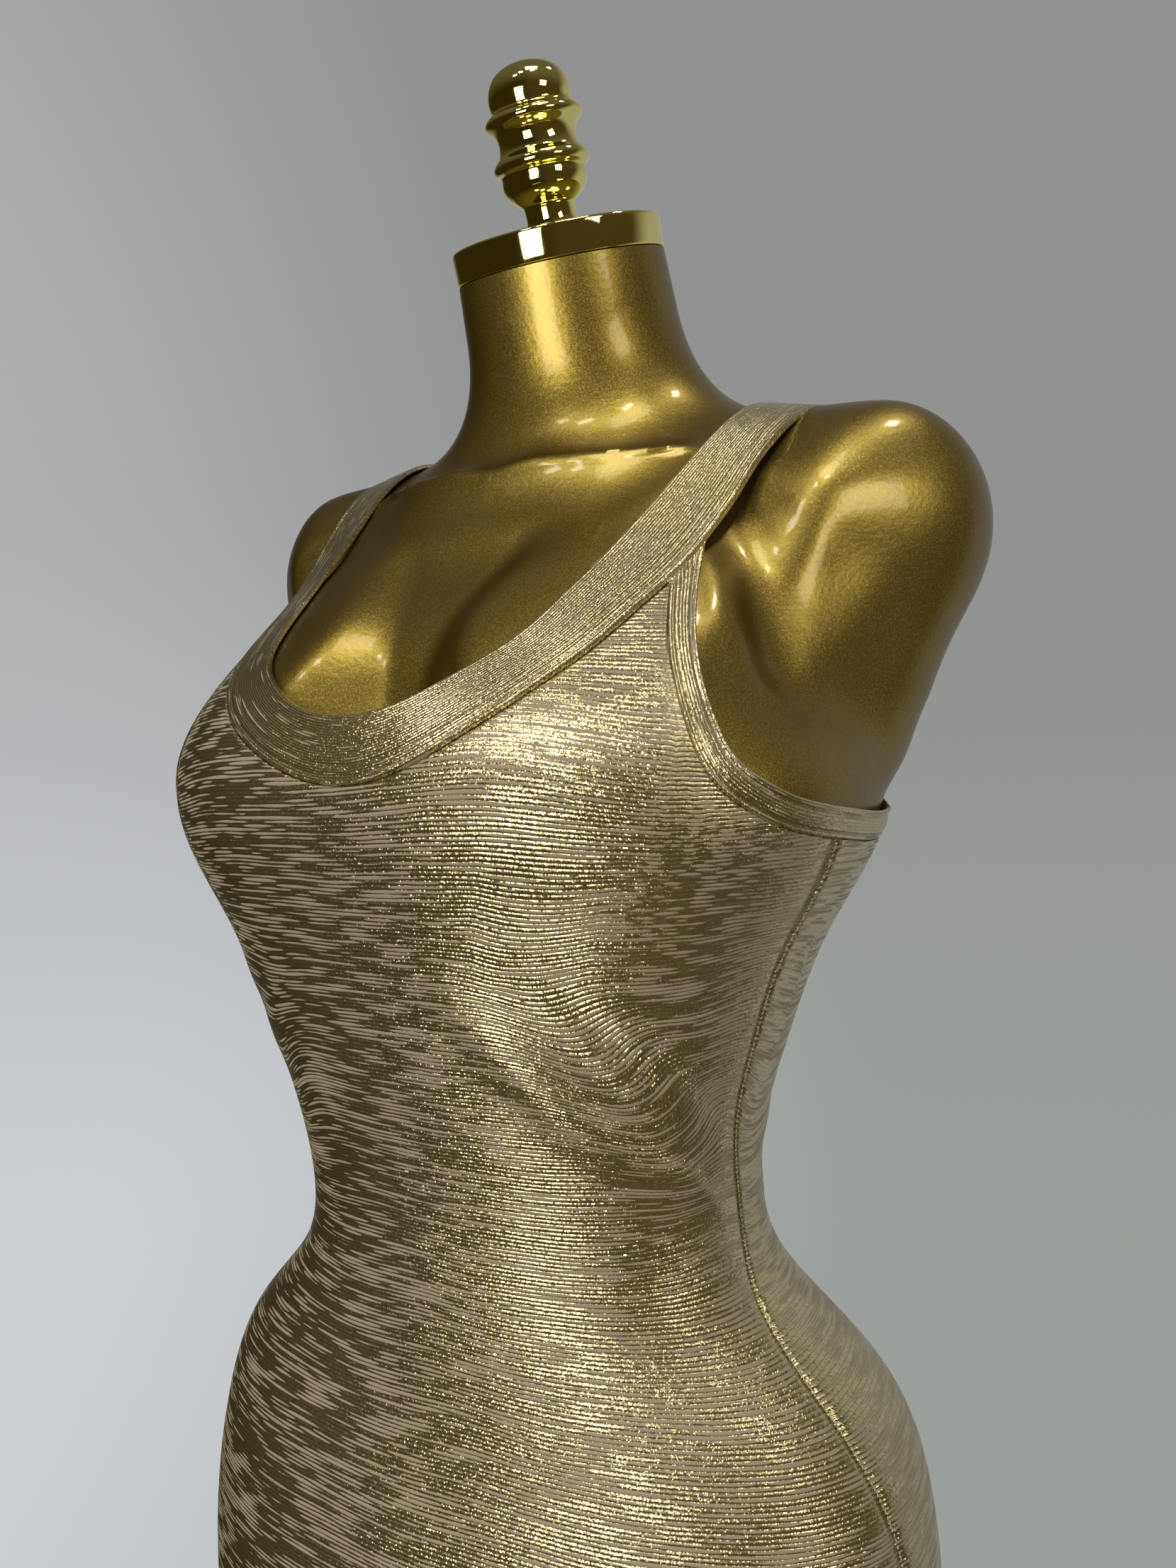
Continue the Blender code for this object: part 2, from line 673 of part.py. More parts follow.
def build_form(slot):
    angles = np.linspace(-np.pi, np.pi, FORM_SEGMENTS, endpoint=False)
    rows = []
    for y, height, rise, lean in form_rings():
        level = np.stack([np.cos(angles), np.sin(angles) * math.cos(lean), np.sin(angles) * math.sin(lean)], -1)
        axis = np.array([0, -math.sin(lean), math.cos(lean)])
        directions = level * math.cos(rise) + axis * math.sin(rise)
        origins = np.broadcast_to(np.array([0, y, height]), directions.shape)
        rows.append(cast_to_form(origins, directions))
    bm = bmesh.new()
    under = rows[0] * np.array([1, 1, 0]) + np.array([0, 0, FORM_BOTTOM])
    middle = np.array([0, float(figure_centre(FORM_BOTTOM)), FORM_BOTTOM])
    edge_share = 1 - FORM_EDGE / 100
    under = middle + (under - middle) * edge_share
    rings = grid_faces(bm, [under, *rows], closed_across=True)
    bm.faces.new(rings[0][::-1])
    bm.faces.new(rings[-1])
    mesh = bpy.data.meshes.new("form")
    bm.to_mesh(mesh)
    bm.free()
    made = add_object("form", mesh, slot)
    mesh.set_sharp_from_angle(angle=math.radians(40))
    return made


def lean_with_neck(made, height_on_axis):
    """Puts a turned piece on the neck's leaning axis, a height above the cap's top."""
    made.rotation_euler = (NECK_LEAN, 0, 0)
    made.location = (
        0,
        (CAP_TOP_Y - height_on_axis * math.sin(NECK_LEAN)) * MM,
        (CAP_TOP_HEIGHT + height_on_axis * math.cos(NECK_LEAN)) * MM,
    )


def build_cap(slot):
    bevel = 1.2
    profile = (
        (0, 0),
        (CAP_RADIUS - bevel, 0),
        (CAP_RADIUS, -bevel),
        (CAP_RADIUS, bevel - CAP_THICKNESS),
        (CAP_RADIUS - bevel, -CAP_THICKNESS),
        (0, -CAP_THICKNESS),
    )
    cap = turned_object("neck_cap", profile, slot, steps=48)
    lean_with_neck(cap, 0)
    return cap


def build_finial(slot):
    finial = turned_object("finial", FINIAL_PROFILE, slot)
    lean_with_neck(finial, TOUCHING_GAP)
    return finial


def build_stand(slot):
    bevel = 2.5
    plate_profile = (
        (0, BASE_THICKNESS),
        (BASE_RADIUS - bevel, BASE_THICKNESS),
        (BASE_RADIUS, BASE_THICKNESS - bevel),
        (BASE_RADIUS, 0),
        (0, 0),
    )
    turned_object("base_plate", plate_profile, slot, steps=48)
    bore = POLE_RADIUS + TOUCHING_GAP
    foot = BASE_THICKNESS + TOUCHING_GAP
    hub_profile = (
        (bore, foot + HUB_HEIGHT),
        (POLE_RADIUS + 5, foot + HUB_HEIGHT),
        (POLE_RADIUS + 7, foot + HUB_HEIGHT - 2),
        (POLE_RADIUS + 7, foot + 12),
        (HUB_RADIUS - 2, foot + 7),
        (HUB_RADIUS, foot + 4),
        (HUB_RADIUS, foot),
        (bore, foot),
        (bore, foot + HUB_HEIGHT),
    )
    turned_object("base_hub", hub_profile, slot)
    top = FORM_BOTTOM - TOUCHING_GAP
    pole_profile = ((0, top), (POLE_RADIUS, top), (POLE_RADIUS, foot), (0, foot))
    turned_object("pole", pole_profile, slot)
    collar_profile = (
        (bore, top),
        (COLLAR_RADIUS, top),
        (COLLAR_RADIUS, top - 5),
        (POLE_RADIUS + 9, top - 9),
        (POLE_RADIUS + 7, top - COLLAR_HEIGHT + 2),
        (POLE_RADIUS + 5, top - COLLAR_HEIGHT),
        (bore, top - COLLAR_HEIGHT),
        (bore, top),
    )
    turned_object("collar", collar_profile, slot)


def main():
    for old in list(bpy.data.objects):
        bpy.data.objects.remove(old, do_unlink=True)
    bpy.context.scene.collection.children.link(bpy.data.collections.new(COLLECTION))
    foil_knit = material("foil_knit", (0.46, 0.37, 0.20), 0.55, 0.42)
    foil_band = material("foil_band", (0.50, 0.41, 0.22), 0.55, 0.40)
    gold_paint = material("gold_paint", (0.36, 0.23, 0.05), 0.75, 0.30)
    gold_chrome = material("gold_chrome", (0.72, 0.54, 0.18), 1.0, 0.06)
    stand_metal = material("stand_metal", (0.70, 0.55, 0.24), 1.0, 0.16)
    build_panel("front_panel", False, 8, 9.0, foil_knit)
    build_panel("back_panel", True, 7, 18.0, foil_knit)
    build_neck_band(foil_band)
    for side in (1, -1):
        build_arm_binding(side, foil_band)
    build_form(gold_paint)
    build_cap(gold_chrome)
    build_finial(gold_chrome)
    build_stand(stand_metal)


main()
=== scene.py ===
"""A foil-print bodycon tank dress on a limbless dress form with a turned finial and a round base.

It is laid out as an add-on and run as a script. The figure, the dress and the stand are worked out in
millimetres and become metres where a mesh is made. The settings, the lights and the camera are in
metres. +Z is up and the front faces -Y. Angles go round the figure from +X, so -90 is the centre
front and 90 the centre back.
"""

import math

import bmesh
import bpy
import numpy as np
from bpy.props import FloatProperty, FloatVectorProperty, PointerProperty
from mathutils import Matrix, Vector


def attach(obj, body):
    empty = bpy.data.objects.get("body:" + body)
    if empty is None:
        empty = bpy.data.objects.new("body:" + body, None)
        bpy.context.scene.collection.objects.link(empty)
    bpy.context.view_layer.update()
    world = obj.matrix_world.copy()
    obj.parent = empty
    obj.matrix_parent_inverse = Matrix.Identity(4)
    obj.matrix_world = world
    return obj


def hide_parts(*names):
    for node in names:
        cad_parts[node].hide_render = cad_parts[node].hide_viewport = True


bl_info = {
    "name": "Bodycon Dress on a Dress Form",
    "version": (1, 0, 0),
    "blender": (4, 5, 0),
    "location": "3D View > Sidebar > Dress",
    "description": "Builds a foil-print bodycon dress on a gold dress form",
    "category": "Object",
}

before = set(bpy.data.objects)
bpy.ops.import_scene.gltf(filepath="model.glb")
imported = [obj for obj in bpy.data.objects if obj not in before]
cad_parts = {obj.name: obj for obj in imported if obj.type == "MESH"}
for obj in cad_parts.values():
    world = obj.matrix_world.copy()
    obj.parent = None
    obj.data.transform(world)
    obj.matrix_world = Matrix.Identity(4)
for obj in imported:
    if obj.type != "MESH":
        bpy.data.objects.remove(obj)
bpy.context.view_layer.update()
MM = 0.001
BODY = "root"

# ---------------------------------------------------------------------------------------- sizes, mm

PANEL_WALL = 1.6
BAND_WIDTH = 30.0
BINDING_WIDTH = 12.0
HEM_HEIGHT = 600.0
UNDERARM_HEIGHT = 1150.0
ARMHOLE_HALF_ANGLE = math.radians(29.5)
STRAP_CLEARANCE = 1.85
SHOULDER_MIDDLE = (62.0, 1352.0)
FORM_CLEARANCE = 1.5
FORM_BOTTOM = 560.0
FORM_EDGE = 10.0
CAP_RADIUS = 53.5
CAP_THICKNESS = 15.5
CAP_TOP_Y = 33.0
CAP_TOP_HEIGHT = 1511.0
NECK_LEAN = math.radians(21.0)
NECK_LENGTH = 118.0
NECK_RADII = (60.0, 50.0)
TOUCHING_GAP = 0.3
BASE_RADIUS = 180.0
BASE_THICKNESS = 12.0
POLE_RADIUS = 16.0
HUB_RADIUS = 34.0
HUB_HEIGHT = 38.0
COLLAR_RADIUS = 42.0
COLLAR_HEIGHT = 30.0

# The outer face of the cloth: height, front half width, back half width, front depth, back depth,
# centre y, back squareness.
FIGURE_ROWS = (
    (560, 143, 143, 91, 90, -2, 2.35),
    (620, 147, 147, 93, 94, 0, 2.35),
    (680, 153, 153, 95, 99, 2, 2.35),
    (740, 163, 163, 99, 106, 4, 2.35),
    (800, 177, 177, 102, 114, 8, 2.35),
    (860, 185, 185, 105, 120, 12, 2.35),
    (920, 181, 181, 102, 115, 15, 2.35),
    (970, 160, 160, 92, 101, 14, 2.35),
    (1010, 122, 122, 82, 88, 7, 2.35),
    (1050, 111, 111, 78, 82, 0, 2.35),
    (1090, 117, 117, 83, 81, -4, 2.35),
    (1130, 130, 130, 93, 86, -5, 2.35),
    (1170, 147, 147, 105, 92, -6, 2.4),
    (1210, 168, 168, 122, 98, -5, 2.6),
    (1250, 168, 173, 132, 103, 0, 2.8),
    (1290, 149, 172, 122, 99, 12, 3.0),
    (1320, 140, 168, 107, 87, 28, 3.2),
    (1350, 148, 166, 86, 76, 43, 3.2),
    (1380, 160, 166, 58, 70, 52, 3.2),
)
FRONT_SQUARENESS = 2.35

# The chest and upper back of the form without the bust and the shoulders: height, front half width,
# back half width, front depth, back depth, centre y.
CHEST_ROWS = (
    (1130, 127, 127, 90, 83, -5),
    (1170, 143, 143, 100, 89, -6),
    (1210, 160, 164, 104, 96, -5),
    (1250, 148, 164, 98, 100, 0),
    (1290, 126, 160, 92, 98, 10),
    (1320, 110, 150, 75, 93, 20),
    (1350, 101, 138, 74, 84, 30),
    (1375, 97, 122, 81, 76, 38),
    (1440, 97, 100, 82, 75, 42),
)
CHEST_SQUARENESS = 2.6

# Round bars of the figure's +X side: start, end, start radius, end radius. The neck band is seated on
# the plain solid form, and the skin is the finished one.
SOLID_BARS = {
    "arm": ((150, 68, 1350), (128, 42, 1238), 49, 47),
    "shoulder": ((48, 70, 1386), (150, 68, 1352), 38, 48),
}
SKIN_BARS = {
    "breast": ((62, -44, 1258), (74, 12, 1324), 50, 27),
    "armpit": ((108, -24, 1284), (128, 18, 1342), 27, 24),
    "shoulder": ((34, 80, 1382), (150, 68, 1352), 36, 48),
    "arm": ((150, 68, 1350), (114, 26, 1190), 49, 44),
    "front_of_arm": ((150, 50, 1345), (122, -8, 1262), 44, 34),
    "groove": ((122, -14, 1356), (146, -35, 1286), 13, 6),
}

# The flat cuts on the stub of the arm, which meet at one corner: the way that each faces.
STUB_CORNER = (166, 15, 1335)
OUTER_FACE = (0.906, -0.4225, -0.03)
FRONT_FLANK = (0.19, -0.815, 0.547)

# The side seam: height, angle on the +X side.
SIDE_SEAM_ROWS = (
    (560, -7.0),
    (700, -7.0),
    (850, -7.0),
    (925, -7.6),
    (972, -10.2),
    (1006, -8.0),
    (1035, -3.6),
    (1062, -4.8),
    (1090, -8.6),
    (1125, -10.2),
    (1160, -10.4),
    (1186, -9.6),
    (1215, -11.0),
)

# The neck band's edges on the +X side: inner x, inner run, outer x, outer run, seat. "front" and
# "back" runs are heights, and "shoulder" runs are degrees up from the back about the shoulder.
NECK_BAND_ROWS = (
    (0, 1260.0, 0, 1232.5, "front"),
    (14, 1261.2, 21, 1235.3, "front"),
    (26, 1264.3, 40, 1242.5, "front"),
    (38, 1269.5, 57, 1251.5, "front"),
    (49, 1276.0, 70, 1260.0, "front"),
    (59, 1283.0, 81, 1269.0, "front"),
    (66.5, 1292.0, 91, 1279.0, "front"),
    (72, 1305.0, 98.5, 1291.5, "front"),
    (77, 1320.0, 104.5, 1306.0, "front"),
    (81, 1335.0, 109.5, 1321.0, "front"),
    (85, 1350.0, 113.5, 1336.0, "front"),
    (89, 1365.0, 117.5, 1351.0, "front"),
    (93, 1380.0, 120.5, 1366.0, "front"),
    (98, 106, 128, 112, "shoulder"),
    (99, 83, 130, 82, "shoulder"),
    (98, 63, 129, 58, "shoulder"),
    (96, 42, 126, 38, "shoulder"),
    (92, 20, 121, 14, "shoulder"),
    (86, 1, 114, -13, "shoulder"),
    (77, 1338, 103, 1318, "back"),
    (63, 1328, 85, 1303, "back"),
    (43, 1321, 57, 1294, "back"),
    (21, 1318, 28, 1289, "back"),
    (0, 1317, 0, 1287, "back"),
)

# The middle of the armhole binding: angle, height.
BINDING_ROWS = (
    (-33.5, 1350.0),
    (-34.6, 1326.0),
    (-35.1, 1313.0),
    (-35.5, 1298.0),
    (-35.7, 1281.0),
    (-35.2, 1266.0),
    (-34.1, 1253.0),
    (-32.2, 1241.0),
    (-29.4, 1232.5),
    (-25.4, 1225.8),
    (-19.2, 1219.6),
    (-10.0, 1216.0),
    (2.0, 1214.0),
    (12.0, 1215.5),
    (20.0, 1220.0),
    (27.0, 1229.0),
    (31.5, 1243.0),
    (34.0, 1262.0),
    (35.3, 1284.0),
    (36.0, 1308.0),
    (36.0, 1340.0),
)

# Ridges and creases in the cloth: start angle, start height, end angle, end height, half width,
# rise (less than zero for a trough), side (1 or -1 for the front's halves, 2 or -2 for the back's).
CREASE_ROWS = (
    (-74, 1146, -26, 1064, 9.5, 4.2, 1),
    (-62, 1162, -12, 1062, 7.0, -1.3, 1),
    (-46, 1148, -14, 1080, 9.0, 3.4, 1),
    (-30, 1086, -9, 1052, 5.0, 1.8, 1),
    (-70, 1192, -40, 1180, 13.0, -1.0, 1),
    (-40, 1158, -14, 1120, 9.0, 1.4, -1),
    (-38, 1130, -12, 1090, 10.0, 1.8, -1),
    (-24, 1153, -17, 1143, 2.2, 0.7, 1),
    (-62, 1012, -42, 1010, 1.1, -0.5, 1),
    (-58, 1022, -36, 1018, 1.6, 0.3, 1),
    (-22, 1046, -11, 1036, 2.4, 0.6, 1),
    (-20, 1004, -10, 998, 1.8, 0.5, 1),
    (-30, 1190, -14, 1178, 3.0, 0.5, 1),
    (-56, 1016, -38, 1013, 1.1, -0.4, -1),
    (-26, 1060, -11, 1044, 2.6, 0.7, -1),
    (-28, 1186, -15, 1172, 3.2, 0.5, -1),
    (12, 1120, 40, 1092, 8.0, 1.2, 2),
    (10, 1086, 44, 1064, 8.5, 1.5, 2),
    (14, 1050, 60, 1036, 7.0, 1.0, 2),
    (12, 1126, 42, 1100, 8.0, 1.1, -2),
    (10, 1094, 40, 1070, 8.0, 1.4, -2),
    (16, 1056, 56, 1044, 7.0, 0.9, -2),
    (62, 1030, 90, 1026, 2.0, -0.6, 2),
    (64, 1038, 90, 1033, 2.0, -0.5, -2),
)
CREASE_ARC_RADIUS = 110.0

# Where the knit's rows run higher than level: angle, height, angle half width, height half width,
# rise, side as above.
ROW_DRIFT_ROWS = (
    (-34, 1236, 16, 34, -6.0, 1),
    (-62, 1250, 16, 30, 5.0, 1),
    (-14, 1152, 12, 26, 9.0, 1),
    (-14, 1104, 9, 26, 12.0, 1),
    (-12, 1050, 9, 20, 5.0, 1),
    (-34, 1236, 16, 34, -6.0, -1),
    (-16, 1100, 9, 34, 10.0, -1),
    (-36, 1088, 12, 30, -7.0, -1),
    (16, 1096, 9, 32, 8.0, 2),
    (34, 1080, 12, 30, -6.0, 2),
    (16, 1096, 9, 32, 8.0, -2),
    (34, 1080, 12, 30, -6.0, -2),
)

# Folds that the rows dip into or rise over: start angle, start height, end angle, end height, half
# width, rise, side as above.
ROW_FOLD_ROWS = (
    (-60, 1156, -14, 1062, 16.0, -13.0, 1),
    (-66, 1182, -44, 1176, 24.0, -5.0, 1),
    (-40, 1150, -18, 1092, 13.0, 4.0, 1),
    (-52, 1150, -16, 1074, 17.0, -9.0, -1),
)

# The finial's outline on its own axis, from the top down: radius, height above the cap.
FINIAL_PROFILE = (
    (0.0, 78.7),
    (6.5, 78.1),
    (12.5, 76.1),
    (17.0, 72.7),
    (19.8, 67.7),
    (20.6, 62.2),
    (20.2, 58.2),
    (22.6, 56.0),
    (24.4, 53.3),
    (23.4, 50.9),
    (20.6, 48.1),
    (19.4, 44.5),
    (20.2, 39.2),
    (22.6, 36.2),
    (24.2, 33.1),
    (23.0, 30.4),
    (21.2, 28.9),
    (21.4, 24.7),
    (19.0, 19.2),
    (14.4, 15.2),
    (12.8, 12.4),
    (13.0, 5.7),
    (15.2, 2.9),
    (16.0, 0.7),
    (15.6, 0.0),
)

# Where the map of each piece starts, so that no two pieces carry the same part of the print.
BACK_MAP_START = 1500
BAND_MAP_START = (3000, 2000)
BINDING_MAP_START = (5000, 4000)
BINDING_MAP_STEP = 900

# What takes a point on the +X side to its twin on the other side.
FLIPPED = np.array([-1.0, 1, 1])

# ----------------------------------------------------------------------------------- the figure, mm


def natural_spline(knots, values):
    """A smooth curve through the values, as a function of the knots."""
    knots, values = np.asarray(knots, float), np.asarray(values, float)
    step = np.diff(knots)
    slope = np.diff(values) / step
    count = len(knots)
    system, right = np.eye(count), np.zeros(count)
    for row in range(1, count - 1):
        system[row, row - 1 : row + 2] = step[row - 1], 2 * (step[row - 1] + step[row]), step[row]
        right[row] = 6 * (slope[row] - slope[row - 1])
    bend = np.linalg.solve(system, right)

    def curve(at):
        at = np.clip(np.asarray(at, float), knots[0], knots[-1])
        span = np.clip(np.searchsorted(knots, at) - 1, 0, count - 2)
        low, high = at - knots[span], knots[span + 1] - at
        width = step[span]
        return (
            (bend[span] * high**3 + bend[span + 1] * low**3) / (6 * width)
            + (values[span] / width - bend[span] * width / 6) * high
            + (values[span + 1] / width - bend[span + 1] * width / 6) * low
        )

    return curve


def splines_of(rows):
    """A smooth curve for each column of a table, as a function of its first column."""
    columns = list(zip(*rows))
    return [natural_spline(columns[0], column) for column in columns[1:]]


front_width, back_width, figure_front, figure_back, figure_centre, back_squareness = splines_of(FIGURE_ROWS)
chest_width, chest_back_width, chest_front, chest_back, chest_centre = splines_of(CHEST_ROWS)
(seam_angle,) = splines_of(SIDE_SEAM_ROWS)


def figure_radius(angle, height):
    """The cloth's outer radius about its section's centre."""
    cosine, sine = np.abs(np.cos(angle)), np.abs(np.sin(angle))
    front = np.sin(angle) < 0
    backward = np.clip(0.5 + 1.5 * np.sin(angle), 0, 1)
    width = front_width(height) + (back_width(height) - front_width(height)) * backward
    depth = np.where(front, figure_front(height), figure_back(height))
    square = np.where(front, FRONT_SQUARENESS, back_squareness(height))
    return ((cosine / width) ** square + (sine / depth) ** square) ** (-1 / square)


def figure_point(angle, height, inset=0.0):
    """The point on the cloth at an angle and a height, moved in by the inset."""
    radius = figure_radius(angle, height) - inset
    y = figure_centre(height) + radius * np.sin(angle)
    return np.stack(np.broadcast_arrays(radius * np.cos(angle), y, np.asarray(height, float)), -1)


def figure_angle(x, height, side):
    """The angle at which the figure's front (-1) or back (1) has this x."""
    low = np.where(side < 0, -np.pi / 2, 0.0) * np.ones_like(x)
    high = np.where(side < 0, 0.0, np.pi / 2) * np.ones_like(x)
    for _ in range(40):
        middle = (low + high) / 2
        across = figure_radius(middle, height) * np.cos(middle)
        outside = (across > x) if side < 0 else (across < x)
        high, low = np.where(outside, middle, high), np.where(outside, low, middle)
    return (low + high) / 2


def smooth_less(first, second, blend):
    """The lesser of two distances, with a rounded joint between the two bodies."""
    mix = np.maximum(blend - np.abs(first - second), 0) / blend
    return np.minimum(first, second) - mix * mix * blend / 4


def smooth_more(first, second, blend):
    """The greater of two distances, with a rounded edge between the two cuts."""
    return -smooth_less(-first, -second, blend)


def smooth_step(low, high, value):
    """An eased share from 0 at low to 1 at high."""
    share = np.clip((value - low) / (high - low), 0, 1)
    return share * share * (3 - 2 * share)


def bell(value, middle, half_width):
    """A smooth hump that is 1 at its middle."""
    return np.exp(-(((value - middle) / half_width) ** 2))


def unit(vectors):
    """Vectors brought to a length of one."""
    return vectors / np.linalg.norm(vectors, axis=-1, keepdims=True)


def run_along(points):
    """The length run along a line of points, from zero at its start."""
    steps = np.linalg.norm(np.diff(points, axis=-2), axis=-1)
    return np.concatenate([np.zeros((*steps.shape[:-1], 1)), np.cumsum(steps, -1)], -1)


def at_run(line, run, at):
    """The points of a line at given places of its run."""
    return np.stack([np.interp(at, run, column) for column in line.T], -1)


def from_segment(points, start, end):
    """How far points are from a straight segment, and the share of it that they are beside."""
    along = end - start
    share = np.clip((points - start) @ along / (along @ along), 0, 1)
    return np.linalg.norm(points - start - share[..., None] * along, axis=-1), share


def tapered_bar(points, start, end, start_radius, end_radius):
    """The distance to a round bar between two points."""
    away, share = from_segment(points, np.array(start, float), np.array(end, float))
    return away - (start_radius + share * (end_radius - start_radius))


def ellipsoid(points, centre, radii):
    """The approximate distance to an ellipsoid."""
    offset = points - np.array(centre, float)
    radii = np.array(radii, float)
    first = np.linalg.norm(offset / radii, axis=-1)
    second = np.linalg.norm(offset / radii**2, axis=-1)
    return first * (first - 1) / np.maximum(second, 1e-6)


def on_right(points):
    """Points brought to the +X side, with their x, y and height."""
    mirrored = points * np.where(points[..., :1] < 0, FLIPPED, 1.0)
    return mirrored, mirrored[..., 0], mirrored[..., 1], mirrored[..., 2]


def inside_cloth(x, y, height):
    """Each point's y and angle about the figure's centre, and its distance to the form's clothed skin."""
    figure_y = y - figure_centre(height)
    angle = np.arctan2(figure_y, x)
    distance = np.hypot(x, figure_y) - figure_radius(angle, height) + PANEL_WALL + FORM_CLEARANCE
    return figure_y, angle, distance


def chest_distance(x, y, height, swell=0.0):
    """The distance to the chest and the upper back, with a swell of the upper chest."""
    offset = y - chest_centre(height)
    front = chest_front(height) + swell * bell(height, 1312, 28)
    depth = np.where(offset < 0, front, chest_back(height))
    backward = np.clip(0.5 + offset / 60, 0, 1)
    width = chest_width(height) + (chest_back_width(height) - chest_width(height)) * backward
    powers = (x / width) ** CHEST_SQUARENESS + (np.abs(offset) / depth) ** CHEST_SQUARENESS
    return np.hypot(x, offset) * (1 - np.maximum(powers, 1e-9) ** (-1 / CHEST_SQUARENESS))


def body_distance(mirrored, chest, figure_y, under_cloth, neck_blend):
    """The chest joined to the figure below it and to the neck above."""
    x, height = mirrored[..., 0], mirrored[..., 2]
    valley = np.where(figure_y < 0, bell(x, 0, 25), 0) * np.clip((height - 1165) / 75, 0, 1) ** 2
    above_waist = smooth_step(1205, 1275, height)
    body = (1 - above_waist) * (under_cloth + 24 * valley) + above_waist * chest
    neck_top = np.array([0, CAP_TOP_Y, CAP_TOP_HEIGHT])
    axis = np.array([0, -math.sin(NECK_LEAN), math.cos(NECK_LEAN)])
    neck = tapered_bar(mirrored, neck_top - NECK_LENGTH * axis, neck_top + 30 * axis, *NECK_RADII)
    return smooth_less(body, neck, neck_blend)


def form_distance(points):
    """The distance to the solid form, which carries the neck band: less than zero inside it."""
    mirrored, x, y, height = on_right(points)
    figure_y, angle, under_cloth = inside_cloth(x, y, height)
    collarbone = 1379 + 0.22 * (y + 43) - 0.08 * x
    chest = smooth_more(chest_distance(x, y, height), height - collarbone, 12)
    chest = smooth_less(chest, ellipsoid(mirrored, (66, -56, 1248), (62, 68, 78)), 18)
    arm, shoulder = (tapered_bar(mirrored, *bar) for bar in SOLID_BARS.values())
    chest = smooth_less(chest, smooth_less(arm, shoulder, 20), 22)
    body = body_distance(mirrored, chest, figure_y, under_cloth, 26 + 30 * np.clip((y + 45) / 70, 0, 1))

    armhole_height = 1223 + 100 * np.minimum(np.abs(angle) / ARMHOLE_HALF_ANGLE, 1.5) ** 6
    neckline_height = np.where(figure_y < 0, 1335 + 1.2 * np.maximum(x - 60, 0), 1324 + 0.55 * x)
    above_edge = np.clip((height - np.minimum(armhole_height, neckline_height)) / 12, 0, 8)
    return smooth_more(body, under_cloth - 2 * above_edge**2, 4)


def skin_distance(points):
    """The distance to the dress form's finished skin, with its fine shape where it shows."""
    mirrored, x, y, height = on_right(points)
    figure_y, angle, under_cloth = inside_cloth(x, y, height)
    bars = {name: tapered_bar(mirrored, *bar) for name, bar in SKIN_BARS.items()}

    # The chest without its bust, cut off by the ledge of the collarbones.
    notch = 5.0 * bell(x, 0, 13) * smooth_step(20, -50, y)
    ledge = 1379 + 0.22 * (y + 43) - 0.06 * x - notch
    chest = smooth_more(chest_distance(x, y, height, swell=8), height - ledge, 15)

    # The breasts, drawn up towards the shoulders, with a sharp valley low between them.
    bust = smooth_less(ellipsoid(mirrored, (64, -55, 1246), (57, 66, 74)), bars["breast"], 36)
    chest = smooth_less(chest, bust, 8 + 36 * smooth_step(0, 60, x))
    chest = smooth_less(chest, bars["armpit"], 24)

    # The shoulder and the stub of the arm, whose outer end is cut flat. The outer face and the front
    # flank meet in a slanting ridge below the round of the shoulder.
    chest = smooth_less(chest, bars["shoulder"], 42)
    stub = smooth_less(bars["arm"], bars["front_of_arm"], 20)
    from_corner = mirrored - np.array(STUB_CORNER)
    outer_face, front_flank = (from_corner @ np.array(way) for way in (OUTER_FACE, FRONT_FLANK))
    stub = smooth_more(stub, outer_face, 26)
    stub += (smooth_more(stub, front_flank, 22) - stub) * smooth_step(1362, 1330, height)
    join = 12 + 21 * smooth_step(10, 60, y) + 26 * smooth_step(1270, 1235, height)
    chest = smooth_more(smooth_less(chest, stub, join), -bars["groove"], 20)
    body = body_distance(mirrored, chest, figure_y, under_cloth, 26 + 30 * smooth_step(-45, 25, y))

    # The skin stays under the cloth up to the armholes and the neckline. At the back it then runs up
    # to the neck in a plain slope.
    inside_armhole = smooth_less((33.2 - np.degrees(np.abs(angle))) * 2.6, height - 1223, 54)
    beside = np.clip(inside_armhole, 0, 60) ** 2 / 24
    front_neckline = 1333 + 0.6 * (x - 60 + np.sqrt((x - 60) ** 2 + 400))
    above = np.clip(height - np.where(figure_y < 0, front_neckline, 1324 + 0.55 * x), 0, 96)
    sloped = np.where((figure_y > 0) & (above > 15), 3.1 + 0.417 * (above - 15), above**2 / 72)
    return smooth_more(body, under_cloth - np.maximum(beside, sloped), 4)


def cast_to_form(origins, directions, reach=420.0, step=6.0, distance=form_distance):
    """Where rays from inside the form meet its skin."""
    inside = np.zeros(origins.shape[:-1])
    open_ray = np.ones(origins.shape[:-1], bool)
    for length in np.arange(step, reach, step):
        still = np.zeros_like(open_ray)
        still[open_ray] = distance(origins[open_ray] + length * directions[open_ray]) < 0
        inside = np.where(still, length, inside)
        open_ray = still
        if not open_ray.any():
            break
    outside = inside + step
    for _ in range(16):
        middle = (inside + outside) / 2
        within = distance(origins + middle[..., None] * directions) < 0
        inside, outside = np.where(within, middle, inside), np.where(within, outside, middle)
    return origins + ((inside + outside) / 2)[..., None] * directions


def seat_on_shoulder(x, angle):
    """The point clear of the form's skin at an angle round the shoulder's middle, more so down the back."""
    clearance = STRAP_CLEARANCE * (1 + 1.7 * min(max(1 - angle / 50, 0), 1))
    origin = np.array([[x, *SHOULDER_MIDDLE]])
    direction = np.array([[0, math.cos(math.radians(angle)), math.sin(math.radians(angle))]])
    return (cast_to_form(origin, direction, reach=120.0) + clearance * direction)[0]


# --------------------------------------------------------------------------------- the dress's lines


